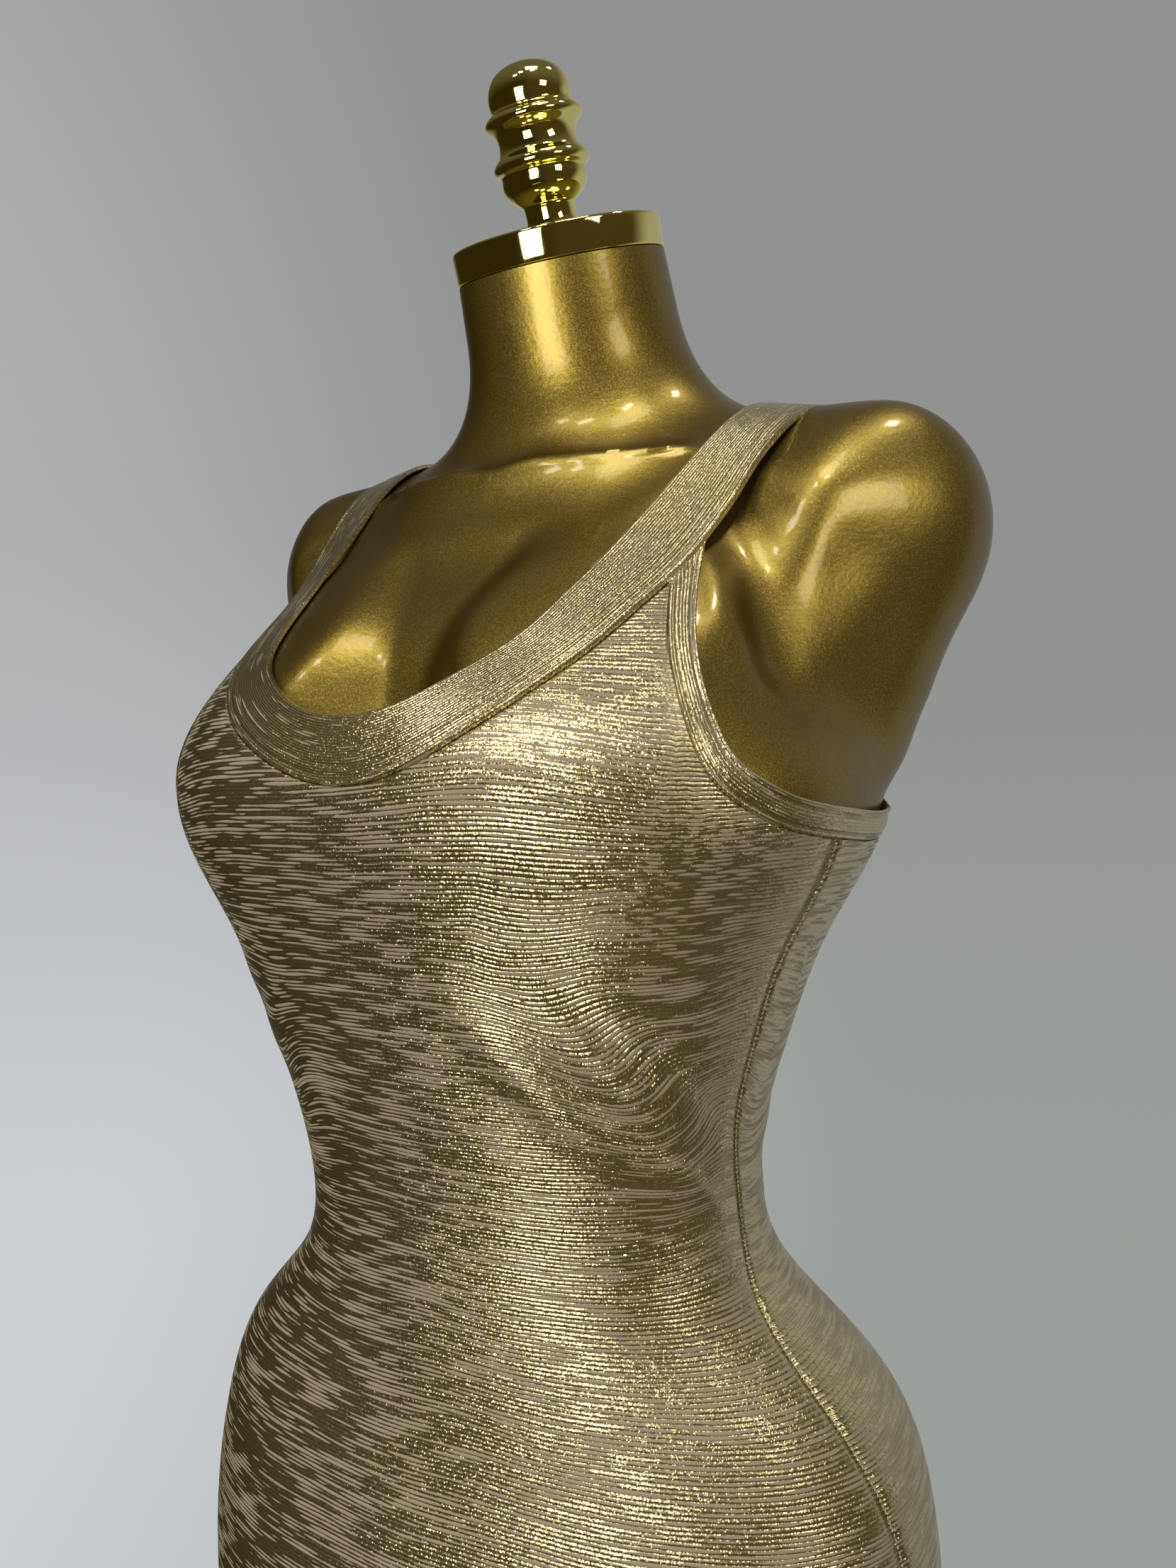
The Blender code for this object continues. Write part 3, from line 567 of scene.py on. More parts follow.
def neck_band_edges():
    """The band's inner and outer edges on the +X side, as smooth curves of a station from 0 to 1."""
    edges = []
    for first in (0, 2):
        edge = []
        for row in NECK_BAND_ROWS:
            x, run, seat = row[first], row[first + 1], row[4]
            if seat == "shoulder":
                edge.append(seat_on_shoulder(x, run))
            else:
                angle = figure_angle(np.float64(x), np.float64(run), -1 if seat == "front" else 1)
                edge.append(figure_point(angle, run, PANEL_WALL))
        edges.append(np.array(edge))
    run = run_along(sum(edges) / 2)
    run /= run[-1]
    curves = []
    for edge in edges:
        flipped = edge * FLIPPED
        whole = np.concatenate([flipped[3:0:-1], edge, flipped[-2:-5:-1]])
        knots = np.concatenate([-run[3:0:-1], run, 2 - run[-2:-5:-1]])
        curves.append([natural_spline(knots, column) for column in whole.T])
    return curves


BAND_EDGES = neck_band_edges()


def neck_band_half(stations, across):
    """Points of the +X half of the neck band. Across runs from 0 at its inner edge to 1 at its outer."""
    inner, outer = (np.stack([column(stations) for column in curve], -1) for curve in BAND_EDGES)
    return inner[:, None] + (outer - inner)[:, None] * np.asarray(across)[None, :, None]


def neck_edge(extra):
    """A dense line on the +X side of the neck band, a distance outside its outer edge."""
    band = neck_band_half(np.linspace(0, 1, 1200), (0.0, 1.0))
    return band[:, 1] + unit(band[:, 1] - band[:, 0]) * extra


def to_angle_height(points):
    """Points on the figure as angles and heights."""
    return np.stack([np.arctan2(points[:, 1] - figure_centre(points[:, 2]), points[:, 0]), points[:, 2]], -1)


def armhole_line(offset, count=2400):
    """A dense line along the armhole, a distance out of the binding's middle, as angles and heights."""
    run = np.arange(len(BINDING_ROWS))
    angle = natural_spline(run, [math.radians(row[0]) for row in BINDING_ROWS])
    height = natural_spline(run, [row[1] for row in BINDING_ROWS])
    at = np.linspace(0, run[-1], count)
    middle = np.stack([angle(at), height(at)], -1)
    radius = figure_radius(middle[:, 0], middle[:, 1])
    flat = np.stack([middle[:, 0] * radius, middle[:, 1]], -1)
    along = unit(np.gradient(flat, axis=0))
    outward = np.stack([along[:, 1] / radius, -along[:, 0]], -1)
    return middle + outward * offset


def armhole_ends(line, gap):
    """The first and the last place of an armhole line that are a gap clear of the neck band's edge."""
    edge = to_angle_height(neck_edge(gap))
    edge = edge[edge[:, 1] < 1375]
    front, back = edge[edge[:, 0] < 0], edge[edge[:, 0] > 0][::-1]
    limit = np.where(
        line[:, 0] < 0,
        np.interp(line[:, 0], front[:, 0], front[:, 1]),
        np.interp(-line[:, 0], -back[:, 0], back[:, 1]),
    )
    clear = np.flatnonzero(line[:, 1] <= limit)
    return clear[0], clear[-1]


def panel_top(back, neck_count, arm_count, gap):
    """The upper edge of half a panel on the +X side, from its middle to the side seam: angles, heights."""
    line = armhole_line(BINDING_WIDTH / 2 + gap)
    first, last = armhole_ends(line, gap)
    seam = np.flatnonzero(line[:, 0] > np.radians(seam_angle(line[:, 1])))[0]
    edge = to_angle_height(neck_edge(gap))
    tip = line[last if back else first]
    corner = np.argmin(np.hypot((edge[:, 0] - tip[0]) * 130, edge[:, 1] - tip[1]))
    stations = np.linspace(len(edge) - 1 if back else 0, corner, neck_count + 1).round().astype(int)
    places = np.linspace(last if back else first, seam, arm_count + 1).round().astype(int)
    return np.concatenate([edge[stations[:-1]], line[places]])


def wave(value, seed):
    """A smooth uneven wave between about -1 and 1."""
    parts = ((1.0, 1.0, 1.0), (0.7, 2.3, 1.7), (0.5, 3.9, 2.9))
    return sum(height * np.sin(pace * value + shift * seed) for height, pace, shift in parts) / 2.2


def round_edge(distance, radius):
    """How full a rounded edge is, from 0 at the edge to 1 a radius in."""
    share = np.clip(distance / radius, 0, 1)
    return np.sqrt(np.maximum(1 - (1 - share) ** 2, 0))


def turned_to(angle, side):
    """Angles brought to the +X side, and where the table's side holds."""
    turn = np.where(np.cos(angle) >= 0, angle, np.where(np.sin(angle) < 0, -np.pi - angle, np.pi - angle))
    holds = (np.sin(angle) < 0) == (abs(side) == 1)
    return turn, holds & ((np.cos(angle) >= 0) == (side > 0))


def fold_rise(angle, height, rows):
    """The rise of the soft ridges and troughs in a table, each fading towards its ends."""
    rise = np.zeros(np.broadcast(angle, height).shape)
    for start_angle, start_height, end_angle, end_height, half_width, most, side in rows:
        turn, holds = turned_to(angle, side)
        place = np.stack(np.broadcast_arrays(turn * CREASE_ARC_RADIUS, height), -1)
        start = np.array([math.radians(start_angle) * CREASE_ARC_RADIUS, start_height])
        end = np.array([math.radians(end_angle) * CREASE_ARC_RADIUS, end_height])
        away, share = from_segment(place, start, end)
        rise += holds * most * bell(away, 0, half_width) * np.sin(np.pi * (0.08 + 0.84 * share))
    return rise


def row_drift(angle, height):
    """How far the knit's rows run above the level."""
    drift = 1.5 * wave(angle * 1.9 + height / 90, 0.7) + fold_rise(angle, height, ROW_FOLD_ROWS)
    for at_angle, at_height, half_angle, half_height, most, side in ROW_DRIFT_ROWS:
        turn, holds = turned_to(angle, side)
        away = ((np.degrees(turn) - at_angle) / half_angle) ** 2 + ((height - at_height) / half_height) ** 2
        drift += holds * most * np.exp(-away)
    return drift


# --------------------------------------------------------------------------------------- mesh makers


def deselect():
    """Leaves edit mode and selects nothing."""
    if bpy.context.mode != "OBJECT":
        bpy.ops.object.mode_set(mode="OBJECT")
    bpy.ops.object.select_all(action="DESELECT")


def make_active(piece):
    """Selects one piece alone."""
    deselect()
    piece.select_set(True)
    bpy.context.view_layer.objects.active = piece


def link_piece(name, mesh, *finishes):
    """A smooth object in the scene, with its finishes."""
    piece = bpy.data.objects.new(name, mesh)
    bpy.context.scene.collection.objects.link(piece)
    for finish in finishes:
        mesh.materials.append(finish)
    mesh.shade_smooth()
    return piece


def grid_piece(name, points, finishes, uv=None, closed_rows=False, closed_columns=False, slots=None):
    """A smooth quad grid over rows of points in millimetres, with u and v in metres as its map."""
    rows, columns = points.shape[:2]
    index = np.arange(rows * columns).reshape(rows, columns)
    row_here = np.arange(rows if closed_rows else rows - 1)
    column_here = np.arange(columns if closed_columns else columns - 1)
    corner_steps = ((0, 0), (0, 1), (1, 1), (1, 0))
    corners = [
        index[np.ix_((row_here + down) % rows, (column_here + on) % columns)] for down, on in corner_steps
    ]
    faces = np.stack(corners, -1).reshape(-1, 4)
    mesh = bpy.data.meshes.new(name)
    mesh.from_pydata((points.reshape(-1, 3) * MM).tolist(), [], faces.tolist())
    if uv is not None:
        layer = mesh.uv_layers.new(name="cloth")
        values = np.stack([uv[np.ix_(row_here + down, column_here + on)] for down, on in corner_steps], -2)
        layer.data.foreach_set("uv", values.astype(np.float32).ravel())
    piece = link_piece(name, mesh, *finishes)
    if slots is not None:
        slot_of_face = np.broadcast_to(slots, (len(row_here), len(column_here)))
        mesh.polygons.foreach_set("material_index", slot_of_face.ravel())
    return piece


def close_up(piece):
    """Fills a piece's open ends and turns its faces outward."""
    bm = bmesh.new()
    bm.from_mesh(piece.data)
    bmesh.ops.holes_fill(bm, edges=[edge for edge in bm.edges if edge.is_boundary], sides=0)
    bmesh.ops.recalc_face_normals(bm, faces=bm.faces)
    if bm.calc_volume(signed=True) < 0:
        bmesh.ops.reverse_faces(bm, faces=bm.faces)
    bm.to_mesh(piece.data)
    bm.free()


def turned_piece(name, profile, finish, steps=96, lean=0.0, place=(0, 0, 0)):
    """A piece spun round its own axis from a profile that runs down its outer side."""
    deselect()
    bpy.ops.mesh.primitive_plane_add(size=0.01)
    piece = bpy.context.active_object
    piece.name = piece.data.name = name
    bpy.ops.object.mode_set(mode="EDIT")
    bpy.ops.mesh.select_all(action="SELECT")
    bpy.ops.mesh.merge(type="CENTER")
    points = [Vector((radius * MM, 0, height * MM)) for radius, height in profile]
    bpy.ops.transform.translate(value=points[0])
    for before, after in zip(points, points[1:]):
        bpy.ops.mesh.extrude_region_move(TRANSFORM_OT_translate={"value": after - before})
    bpy.ops.mesh.select_all(action="SELECT")
    bpy.ops.mesh.spin(steps=steps, angle=math.tau, center=(0, 0, 0), axis=(0, 0, 1))
    bpy.ops.mesh.select_all(action="SELECT")
    bpy.ops.mesh.remove_doubles(threshold=1e-6)
    bpy.ops.mesh.normals_make_consistent(inside=False)
    bpy.ops.object.mode_set(mode="OBJECT")
    piece.rotation_euler = (lean, 0, 0)
    piece.location = Vector(place) * MM
    bpy.ops.object.transform_apply(location=True, rotation=True, scale=True)
    piece.data.materials.append(finish)
    bpy.ops.object.shade_smooth_by_angle(angle=math.radians(35))
    return piece


def smooth_profile(profile, per_step):
    """A finer profile on a smooth curve through the given one."""
    run = np.arange(len(profile))
    radius, height = (natural_spline(run, column) for column in zip(*profile))
    fine = np.linspace(0, run[-1], (len(profile) - 1) * per_step + 1)
    return [(max(float(radius(at)), 0.0), float(height(at))) for at in fine]


# ----------------------------------------------------------------------------------------- materials


def rgba(tone, strength=1.0):
    """A colour with its strength changed, as a shader socket takes it."""
    return (*(strength * value for value in tone), 1)


class Nodes:
    """Adds and joins shader nodes in one tree. A value is a number or another node's socket."""

    def __init__(self, tree):
        self.tree = tree

    def add(self, kind, sockets=None, **settings):
        node = self.tree.nodes.new("ShaderNode" + kind)
        for key, value in settings.items():
            setattr(node, key, value)
        for key, value in (sockets or {}).items():
            self.put(node.inputs[key], value)
        return node

    def put(self, socket, value):
        if isinstance(value, bpy.types.NodeSocket):
            self.tree.links.new(value, socket)
        else:
            socket.default_value = value

    def math(self, operation, *values):
        return self.add("Math", dict(enumerate(values)), operation=operation).outputs[0]

    def plus(self, first, *others):
        for other in others:
            first = self.math("ADD", first, other)
        return first

    def less(self, first, second):
        return self.math("SUBTRACT", first, second)

    def times(self, first, second):
        return self.math("MULTIPLY", first, second)

    def line(self, value, slope, start):
        """The value times the slope, plus the start."""
        return self.math("MULTIPLY_ADD", value, slope, start)

    def size(self, value, power=1.0):
        """The value without its sign, raised to a power."""
        value = self.math("ABSOLUTE", value)
        return value if power == 1.0 else self.math("POWER", value, power)

    def between(self, value, low, high, low_out=0.0, high_out=1.0, smooth=True):
        """Maps a value's range to another, clamped and, if asked, eased."""
        sockets = dict(enumerate((value, low, high, low_out, high_out)))
        kind = "SMOOTHSTEP" if smooth else "LINEAR"
        return self.add("MapRange", sockets, interpolation_type=kind).outputs[0]

    def mix(self, share, first, second):
        node = self.add("Mix", data_type="RGBA")
        for label, value in (("Factor", share), ("A", first), ("B", second)):
            self.put(node.inputs[label], value)
        return node.outputs["Result"]

    def point(self, x, y, z=0.0):
        return self.add("CombineXYZ", {"X": x, "Y": y, "Z": z}).outputs[0]

    def parts(self, vector):
        return self.add("SeparateXYZ", {"Vector": vector}).outputs

    def vector(self, operation, sockets):
        return self.add("VectorMath", sockets, operation=operation).outputs[0]

    def noise(self, vector, scale, detail=2.0, roughness=0.5):
        sockets = {"Vector": vector, "Scale": scale, "Detail": detail, "Roughness": roughness}
        return self.add("TexNoise", sockets).outputs["Fac"]

    def bump(self, strength, distance, height):
        return self.add("Bump", {"Strength": strength, "Distance": distance, "Height": height}).outputs[0]

    def cloth_place(self):
        """The place on the cloth's own map, in metres."""
        return self.parts(self.add("UVMap", uv_map="cloth").outputs[0])

    def object_place(self):
        return self.add("TexCoord").outputs["Object"]

    def facing(self):
        """How far the surface is turned from the eye, from 0 to 1."""
        return self.add("LayerWeight", {"Blend": 0.5}).outputs["Facing"]


def new_group(name, inputs, outputs, normal=False):
    """A shader node group with named number inputs and outputs, and if asked a normal."""
    tree = bpy.data.node_groups.new(name, "ShaderNodeTree")
    for label, default in inputs:
        socket = tree.interface.new_socket(name=label, in_out="INPUT", socket_type="NodeSocketFloat")
        socket.default_value = default
    for label in outputs:
        tree.interface.new_socket(name=label, in_out="OUTPUT", socket_type="NodeSocketFloat")
    if normal:
        tree.interface.new_socket(name="Normal", in_out="OUTPUT", socket_type="NodeSocketVector")
    return tree, tree.nodes.new("NodeGroupInput"), tree.nodes.new("NodeGroupOutput")


def foil_print_group():
    """Knitted ribs with a broken foil print along them. Sizes are in metres.

    The print is bare in streaks that each keep to one rib or a few, with ragged round ends. The
    normal follows the ribs and the small random turns of the foil on each stitch. Shade is painted
    shade in the valleys between ribs, and Spark marks stitches that get a painted glint colour.
    """
    inputs = (
        ("Stitch Width", 0.00078),
        ("Rib Height", 0.0017),
        ("Streak Length", 0.021),
        ("Bare Share", 0.5),
        ("Rib Depth", 0.36),
        ("Sway", 0.0016),
        ("Glitter", 0.32),
    )
    tree, given, out = new_group("Foil Print on Knit", inputs, ("Bare", "Shade", "Spark"), normal=True)
    n, given = Nodes(tree), given.outputs
    place = n.cloth_place()
    x = place["X"]
    sway = n.less(n.noise(n.point(n.times(x, 24.0), n.times(place["Y"], 60.0)), 1.0, 1.0, 0.5), 0.5)
    y = n.plus(place["Y"], n.times(sway, given["Sway"]))
    rib = n.math("DIVIDE", y, given["Rib Height"])
    off_middle = n.line(n.math("FRACT", rib), 2.0, -1.0)
    column = n.math("DIVIDE", x, given["Stitch Width"])
    course = n.times(rib, 3.0)

    # Long dashes, each on one rib, with blobs over a few ribs, wide patches and ragged stitches.
    along = n.math("DIVIDE", x, given["Streak Length"])
    dashes = n.noise(n.point(along, n.times(n.math("FLOOR", rib), 5.3)), 1.0, 1.0, 0.4)
    blobs = n.noise(n.point(n.times(along, 0.7), n.times(y, 150.0)), 1.0, 2.0, 0.5)
    patches = n.noise(n.point(n.times(x, 16.0), n.times(y, 34.0)), 1.0, 2.0, 0.5)
    cell_numbers = n.point(n.math("FLOOR", n.times(column, 2.0)), n.math("FLOOR", course))
    cell = n.add("TexWhiteNoise", {"Vector": cell_numbers}, noise_dimensions="2D")
    tilt = n.parts(cell.outputs["Color"])
    level = n.plus(dashes, n.times(blobs, 0.42), n.times(patches, 0.30), n.times(tilt["Z"], 0.04))
    level = n.less(level, n.times(n.size(off_middle, 2.0), 0.36))
    edge = n.line(given["Bare Share"], -0.31, 0.99)
    bare = n.between(level, n.less(edge, 0.012), n.plus(edge, 0.012))

    # Painted shade: a dotted dark line between ribs, and fainter ones between their courses, where the
    # knit's valleys are darkened.
    leg = n.size(n.math("SINE", n.times(column, math.pi)))
    between_courses = n.size(n.math("COSINE", n.times(course, math.pi)), 4.0)
    deep = n.times(n.size(off_middle, 6.0), n.line(leg, -0.45, 1.0))
    deep = n.math("MAXIMUM", deep, n.times(between_courses, 0.16))
    deep = n.math("MAXIMUM", deep, n.times(n.math("POWER", n.less(1.0, leg), 2.0), 0.4))

    # Most stitches lie nearly flat and a few turn far.
    glitter = n.times(n.line(bare, -0.85, 1.0), given["Glitter"])
    turns = []
    for axis in "XY":
        near = n.line(tilt[axis], 2.0, -1.0)
        far = n.times(n.size(near, 3.0), near)
        turns.append(n.times(n.line(near, 0.28, n.times(far, 0.6)), glitter))
    rib_slope = n.times(n.math("SINE", n.times(off_middle, math.pi / 2)), given["Rib Depth"])
    normal = n.add("NewGeometry").outputs["Normal"]
    tangent = n.add("Tangent", direction_type="UV_MAP", uv_map="cloth").outputs[0]
    cross = n.vector("CROSS_PRODUCT", {0: normal, 1: tangent})
    sideways = n.vector("SCALE", {0: tangent, "Scale": turns[0]})
    upward = n.vector("SCALE", {0: cross, "Scale": n.plus(rib_slope, turns[1])})
    turned = n.vector("ADD", {0: n.vector("ADD", {0: sideways, 1: upward}), 1: normal})

    n.put(out.inputs["Bare"], bare)
    n.put(out.inputs["Shade"], n.less(1.0, deep))
    # Spark marks the random stitches that get a painted glint colour.
    n.put(out.inputs["Spark"], n.between(tilt["Z"], 0.80, 0.96))
    n.put(out.inputs["Normal"], n.vector("NORMALIZE", {0: turned}))
    return tree


def orange_peel_group():
    """The fine bumps, larger waves and flecks of sprayed paint. Reads object coordinates."""
    inputs = (("Peel", 1.0), ("Wave", 1.0))
    tree, given, out = new_group("Sprayed Paint", inputs, ("Height", "Cloud", "Fleck"))
    n = Nodes(tree)
    place = n.object_place()
    peel = n.times(n.noise(place, 420.0, 2.0, 0.5), given.outputs["Peel"])
    waves = n.times(n.noise(place, 60.0, 1.0, 0.4), given.outputs["Wave"])
    n.put(out.inputs["Height"], n.plus(peel, waves))
    n.put(out.inputs["Cloud"], n.noise(place, 9.0, 3.0, 0.55))
    n.put(out.inputs["Fleck"], n.noise(place, 1500.0, 1.0, 0.6))
    return tree


def new_material(name):
    """A material and its nodes."""
    made = bpy.data.materials.new(name)
    made.use_nodes = True
    return made, Nodes(made.node_tree)


def shade(n, **inputs):
    """Gives the tree's shader its inputs, each a value or another node's socket."""
    shader = n.tree.nodes["Principled BSDF"]
    for label, value in inputs.items():
        n.put(shader.inputs[label.replace("_", " ")], value)


def use_group(n, tree, **values):
    """Puts a node group in a material, with its own values."""
    node = n.add("Group", node_tree=tree)
    for label, value in values.items():
        n.put(node.inputs[label.replace("_", " ")], value)
    return node.outputs


def foil_knit(name, group, colours, **values):
    """Foil-printed knit: bright metal foil between matt bare streaks."""
    made, n = new_material(name)
    print_ = use_group(n, group, **values)
    bare = print_["Bare"]
    # Painted glint: random stitches take a paler, brighter foil colour.
    foil = n.mix(print_["Spark"], rgba(colours.foil), rgba(colours.painted_glint))
    # Painted shade: the foil's colour is darkened towards where it is seen edge on.
    foil = n.mix(n.between(n.facing(), 0.35, 0.95, 0.0, 0.6), foil, rgba(colours.foil_grazing_shade))
    colour = n.mix(bare, foil, rgba(colours.yarn))
    # The base colour is darkened by the print's Shade: painted shade in the knit's valleys.
    shade(
        n,
        Base_Color=n.mix(print_["Shade"], (0.03, 0.02, 0.008, 1), colour),
        Metallic=n.between(bare, 0.0, 1.0, 0.96, 0.1, smooth=False),
        Roughness=n.between(bare, 0.0, 1.0, 0.28, 0.65, smooth=False),
        Normal=print_["Normal"],
        Sheen_Weight=0.03,
        Sheen_Roughness=0.4,
    )
    return made


def wrong_side_knit(colours):
    """The cloth's brown wrong side, with rows of loops and a little fuzz."""
    made, n = new_material("knit_wrong_side")
    place = n.cloth_place()
    loops = n.noise(n.point(n.times(place["X"], 1300.0), n.times(place["Y"], 900.0)), 1.0, 2.0, 0.6)
    fuzz = n.noise(n.object_place(), 260.0, 3.0, 0.7)
    colour = n.mix(loops, rgba(colours.wrong_side, 0.35), rgba(colours.wrong_side))
    shade(
        n,
        Base_Color=n.mix(n.between(fuzz, 0.35, 0.8, 0.0, 0.5), colour, (0.16, 0.12, 0.08, 1)),
        Roughness=n.between(fuzz, 0.2, 0.8, 0.8, 1.0),
        Normal=n.bump(0.7, 0.0004, n.plus(loops, fuzz)),
        Sheen_Weight=0.3,
    )
    return made


def gold_paint(group, colours):
    """Sprayed metallic gold with a clear coat. Its colour is darkened where it is seen edge on, as painted
    shade.
    """
    made, n = new_material("sprayed_gold_paint")
    paint = use_group(n, group, Peel=0.5, Wave=1.2)
    cloud, fleck, facing = paint["Cloud"], paint["Fleck"], n.facing()
    tone = n.mix(n.between(cloud, 0.3, 0.7), rgba(colours.paint_deep), rgba(colours.paint))
    tone = n.mix(n.between(fleck, 0.45, 0.72, 0.0, 0.6), tone, rgba(colours.paint_fleck))
    # Painted shade: the base colour darkens towards the silhouettes, where the paint is seen edge on.
    shade(
        n,
        Base_Color=n.mix(n.between(facing, 0.15, 0.9, 0.0, 0.85), tone, rgba(colours.paint_grazing_shade)),
        Metallic=0.9,
        Roughness=n.between(fleck, 0.3, 0.7, 0.34, 0.44),
        Normal=n.bump(0.6, 0.0004, paint["Height"]),
        Coat_Weight=n.between(facing, 0.3, 0.8, 0.38, 0.12),
        Coat_Roughness=0.09,
    )
    return made


def chrome(name, colour, roughness, smear):
    """Polished plated metal with faint smears."""
    made, n = new_material(name)
    place = n.object_place()
    haze = n.noise(place, 45.0, 4.0, 0.65)
    shade(
        n,
        Base_Color=n.mix(n.between(haze, 0.35, 0.75, 0.0, 0.3), rgba(colour), rgba(colour, 0.7)),
        Metallic=1.0,
        Roughness=n.between(haze, 0.3, 0.8, roughness, roughness + smear),
        Normal=n.bump(0.04, 0.0001, n.noise(place, 900.0, 2.0, 0.6)),
    )
    return made


def thread(name, colour, metallic):
    """Twisted sewing thread."""
    made, n = new_material(name)
    twist = n.noise(n.object_place(), 2600.0, 2.0, 0.6)
    shade(
        n,
        Base_Color=n.mix(n.between(twist, 0.35, 0.7), rgba(colour, 0.55), rgba(colour)),
        Metallic=metallic,
        Roughness=n.between(twist, 0.3, 0.7, 0.35, 0.6),
        Normal=n.bump(0.5, 0.0002, twist),
    )
    return made


def stage_material(name, colour, roughness):
    """A plain surface with a faint cloud."""
    made, n = new_material(name)
    cloud = n.noise(n.object_place(), 3.0, 3.0, 0.5)
    shade(n, Base_Color=n.mix(cloud, rgba(colour, 0.96), rgba(colour)), Roughness=roughness)
    return made


FINISHES = {}


def finish(name):
    """A finish by its name, with all of them made on first use."""
    if not FINISHES:
        colours = bpy.context.scene.dress_colours
        print_group, paint_group = foil_print_group(), orange_peel_group()
        narrow = {"Rib_Height": 0.0012, "Sway": 0.0003}
        band = {"Bare_Share": 0.0, "Streak_Length": 0.019, "Glitter": 0.34, "Rib_Depth": 0.5, **narrow}
        FINISHES.update(
            panel=foil_knit("foil_knit_panel", print_group, colours, Bare_Share=0.45),
            band=foil_knit("foil_knit_band", print_group, colours, **band),
            edge=foil_knit("foil_knit_seam_edge", print_group, colours, Bare_Share=0.3, **narrow),
            wrong=wrong_side_knit(colours),
            paint=gold_paint(paint_group, colours),
            chrome=chrome("plated_gold_chrome", colours.chrome, 0.035, 0.05),
            stand=chrome("polished_stand_metal", colours.stand, 0.14, 0.12),
            foil_thread=thread("foil_overlock_thread", colours.thread, 0.5),
            loose=thread("loose_thread", (0.62, 0.55, 0.42), 0.0),
        )
    return FINISHES[name]


# -------------------------------------------------------------------------------------- the settings


def length(name, description, default):
    """A length in metres."""
    return FloatProperty(name=name, description=description, default=default, unit="LENGTH", precision=4)


def degrees(name, description, default):
    """An angle, given in degrees."""
    return FloatProperty(name=name, description=description, default=math.radians(default), subtype="ANGLE")


def colour(name, description, default):
    """A colour."""
    return FloatVectorProperty(
        name=name, description=description, default=default, subtype="COLOR", min=0, max=1
    )


class DressSizes(bpy.types.PropertyGroup):
    """Sizes of the cloth and its sewing."""

    cloth_thickness: length("Cloth thickness", "Thickness of the foil-print knit", 0.0013)
    band_thickness: length("Band thickness", "Thickness of the folded neck band", 0.0021)
    binding_rise: length("Binding thickness", "Thickness of the armhole binding", 0.0022)
    stitch_pitch: length("Stitch pitch", "Distance from one overlock stitch to the next", 0.0024)
    hem_turn: length("Hem turn", "Height of the turned hem", 0.015)


class DressColours(bpy.types.PropertyGroup):
    """Colours of the cloth, the form and the metal."""

    foil: colour("Foil", "The printed foil", (0.82, 0.71, 0.38))
    # Painted shade for the foil seen edge on, mixed in by how far the surface turns from the eye.
    foil_grazing_shade: colour("Deep foil", "The foil seen edge on", (0.24, 0.19, 0.06))
    # Painted glint: the paler colour given to random stitches of the foil.
    painted_glint: colour("Spark", "The foil's brightest stitches", (0.98, 0.94, 0.72))
    yarn: colour("Yarn", "The bare knit between the foil", (0.41, 0.34, 0.245))
    wrong_side: colour("Wrong side", "The cloth's wrong side", (0.085, 0.055, 0.032))
    thread: colour("Thread", "The overlock thread", (0.80, 0.72, 0.48))
    paint: colour("Paint", "The form's gold paint", (0.37, 0.272, 0.052))
    paint_deep: colour("Deep paint", "The darker parts of the paint", (0.28, 0.195, 0.028))
    paint_fleck: colour("Flecks", "The paint's metal flecks", (0.63, 0.51, 0.14))
    # Painted shade for the paint seen edge on.
    paint_grazing_shade: colour("Paint's edge", "The paint seen edge on", (0.11, 0.062, 0.004))
    chrome: colour("Chrome", "The cap and the finial", (0.88, 0.78, 0.26))
    stand: colour("Stand", "The pole and the base", (0.80, 0.68, 0.42))
    wall: colour("Wall", "The room behind", (0.40, 0.41, 0.42))
    floor: colour("Floor", "The floor", (0.62, 0.62, 0.62))


class StageSettings(bpy.types.PropertyGroup):
    """The camera's place and the lights' strength."""

    camera_turn: degrees("Camera turn", "Angle of the camera round the form", 32.8)
    camera_distance: length("Camera distance", "Distance from the form's middle", 0.567)
    camera_height: length("Camera height", "Height of the camera", 1.229)
    yaw: degrees("Yaw", "Turn of the view", -3.0)
    pitch: degrees("Pitch", "Tilt of the view", 0.4)
    roll: degrees("Roll", "Roll of the view", -0.7)
    lens: FloatProperty(
        name="Lens", description="Focal length for a frame 36 mm tall", default=27.02, unit="CAMERA"
    )
    light: FloatProperty(name="Light", description="Strength of all lights", default=1.0, min=0)


def sizes():
    """The sizes set in the panel."""
    return bpy.context.scene.dress_sizes


# --------------------------------------------------------------------------------------- the pieces


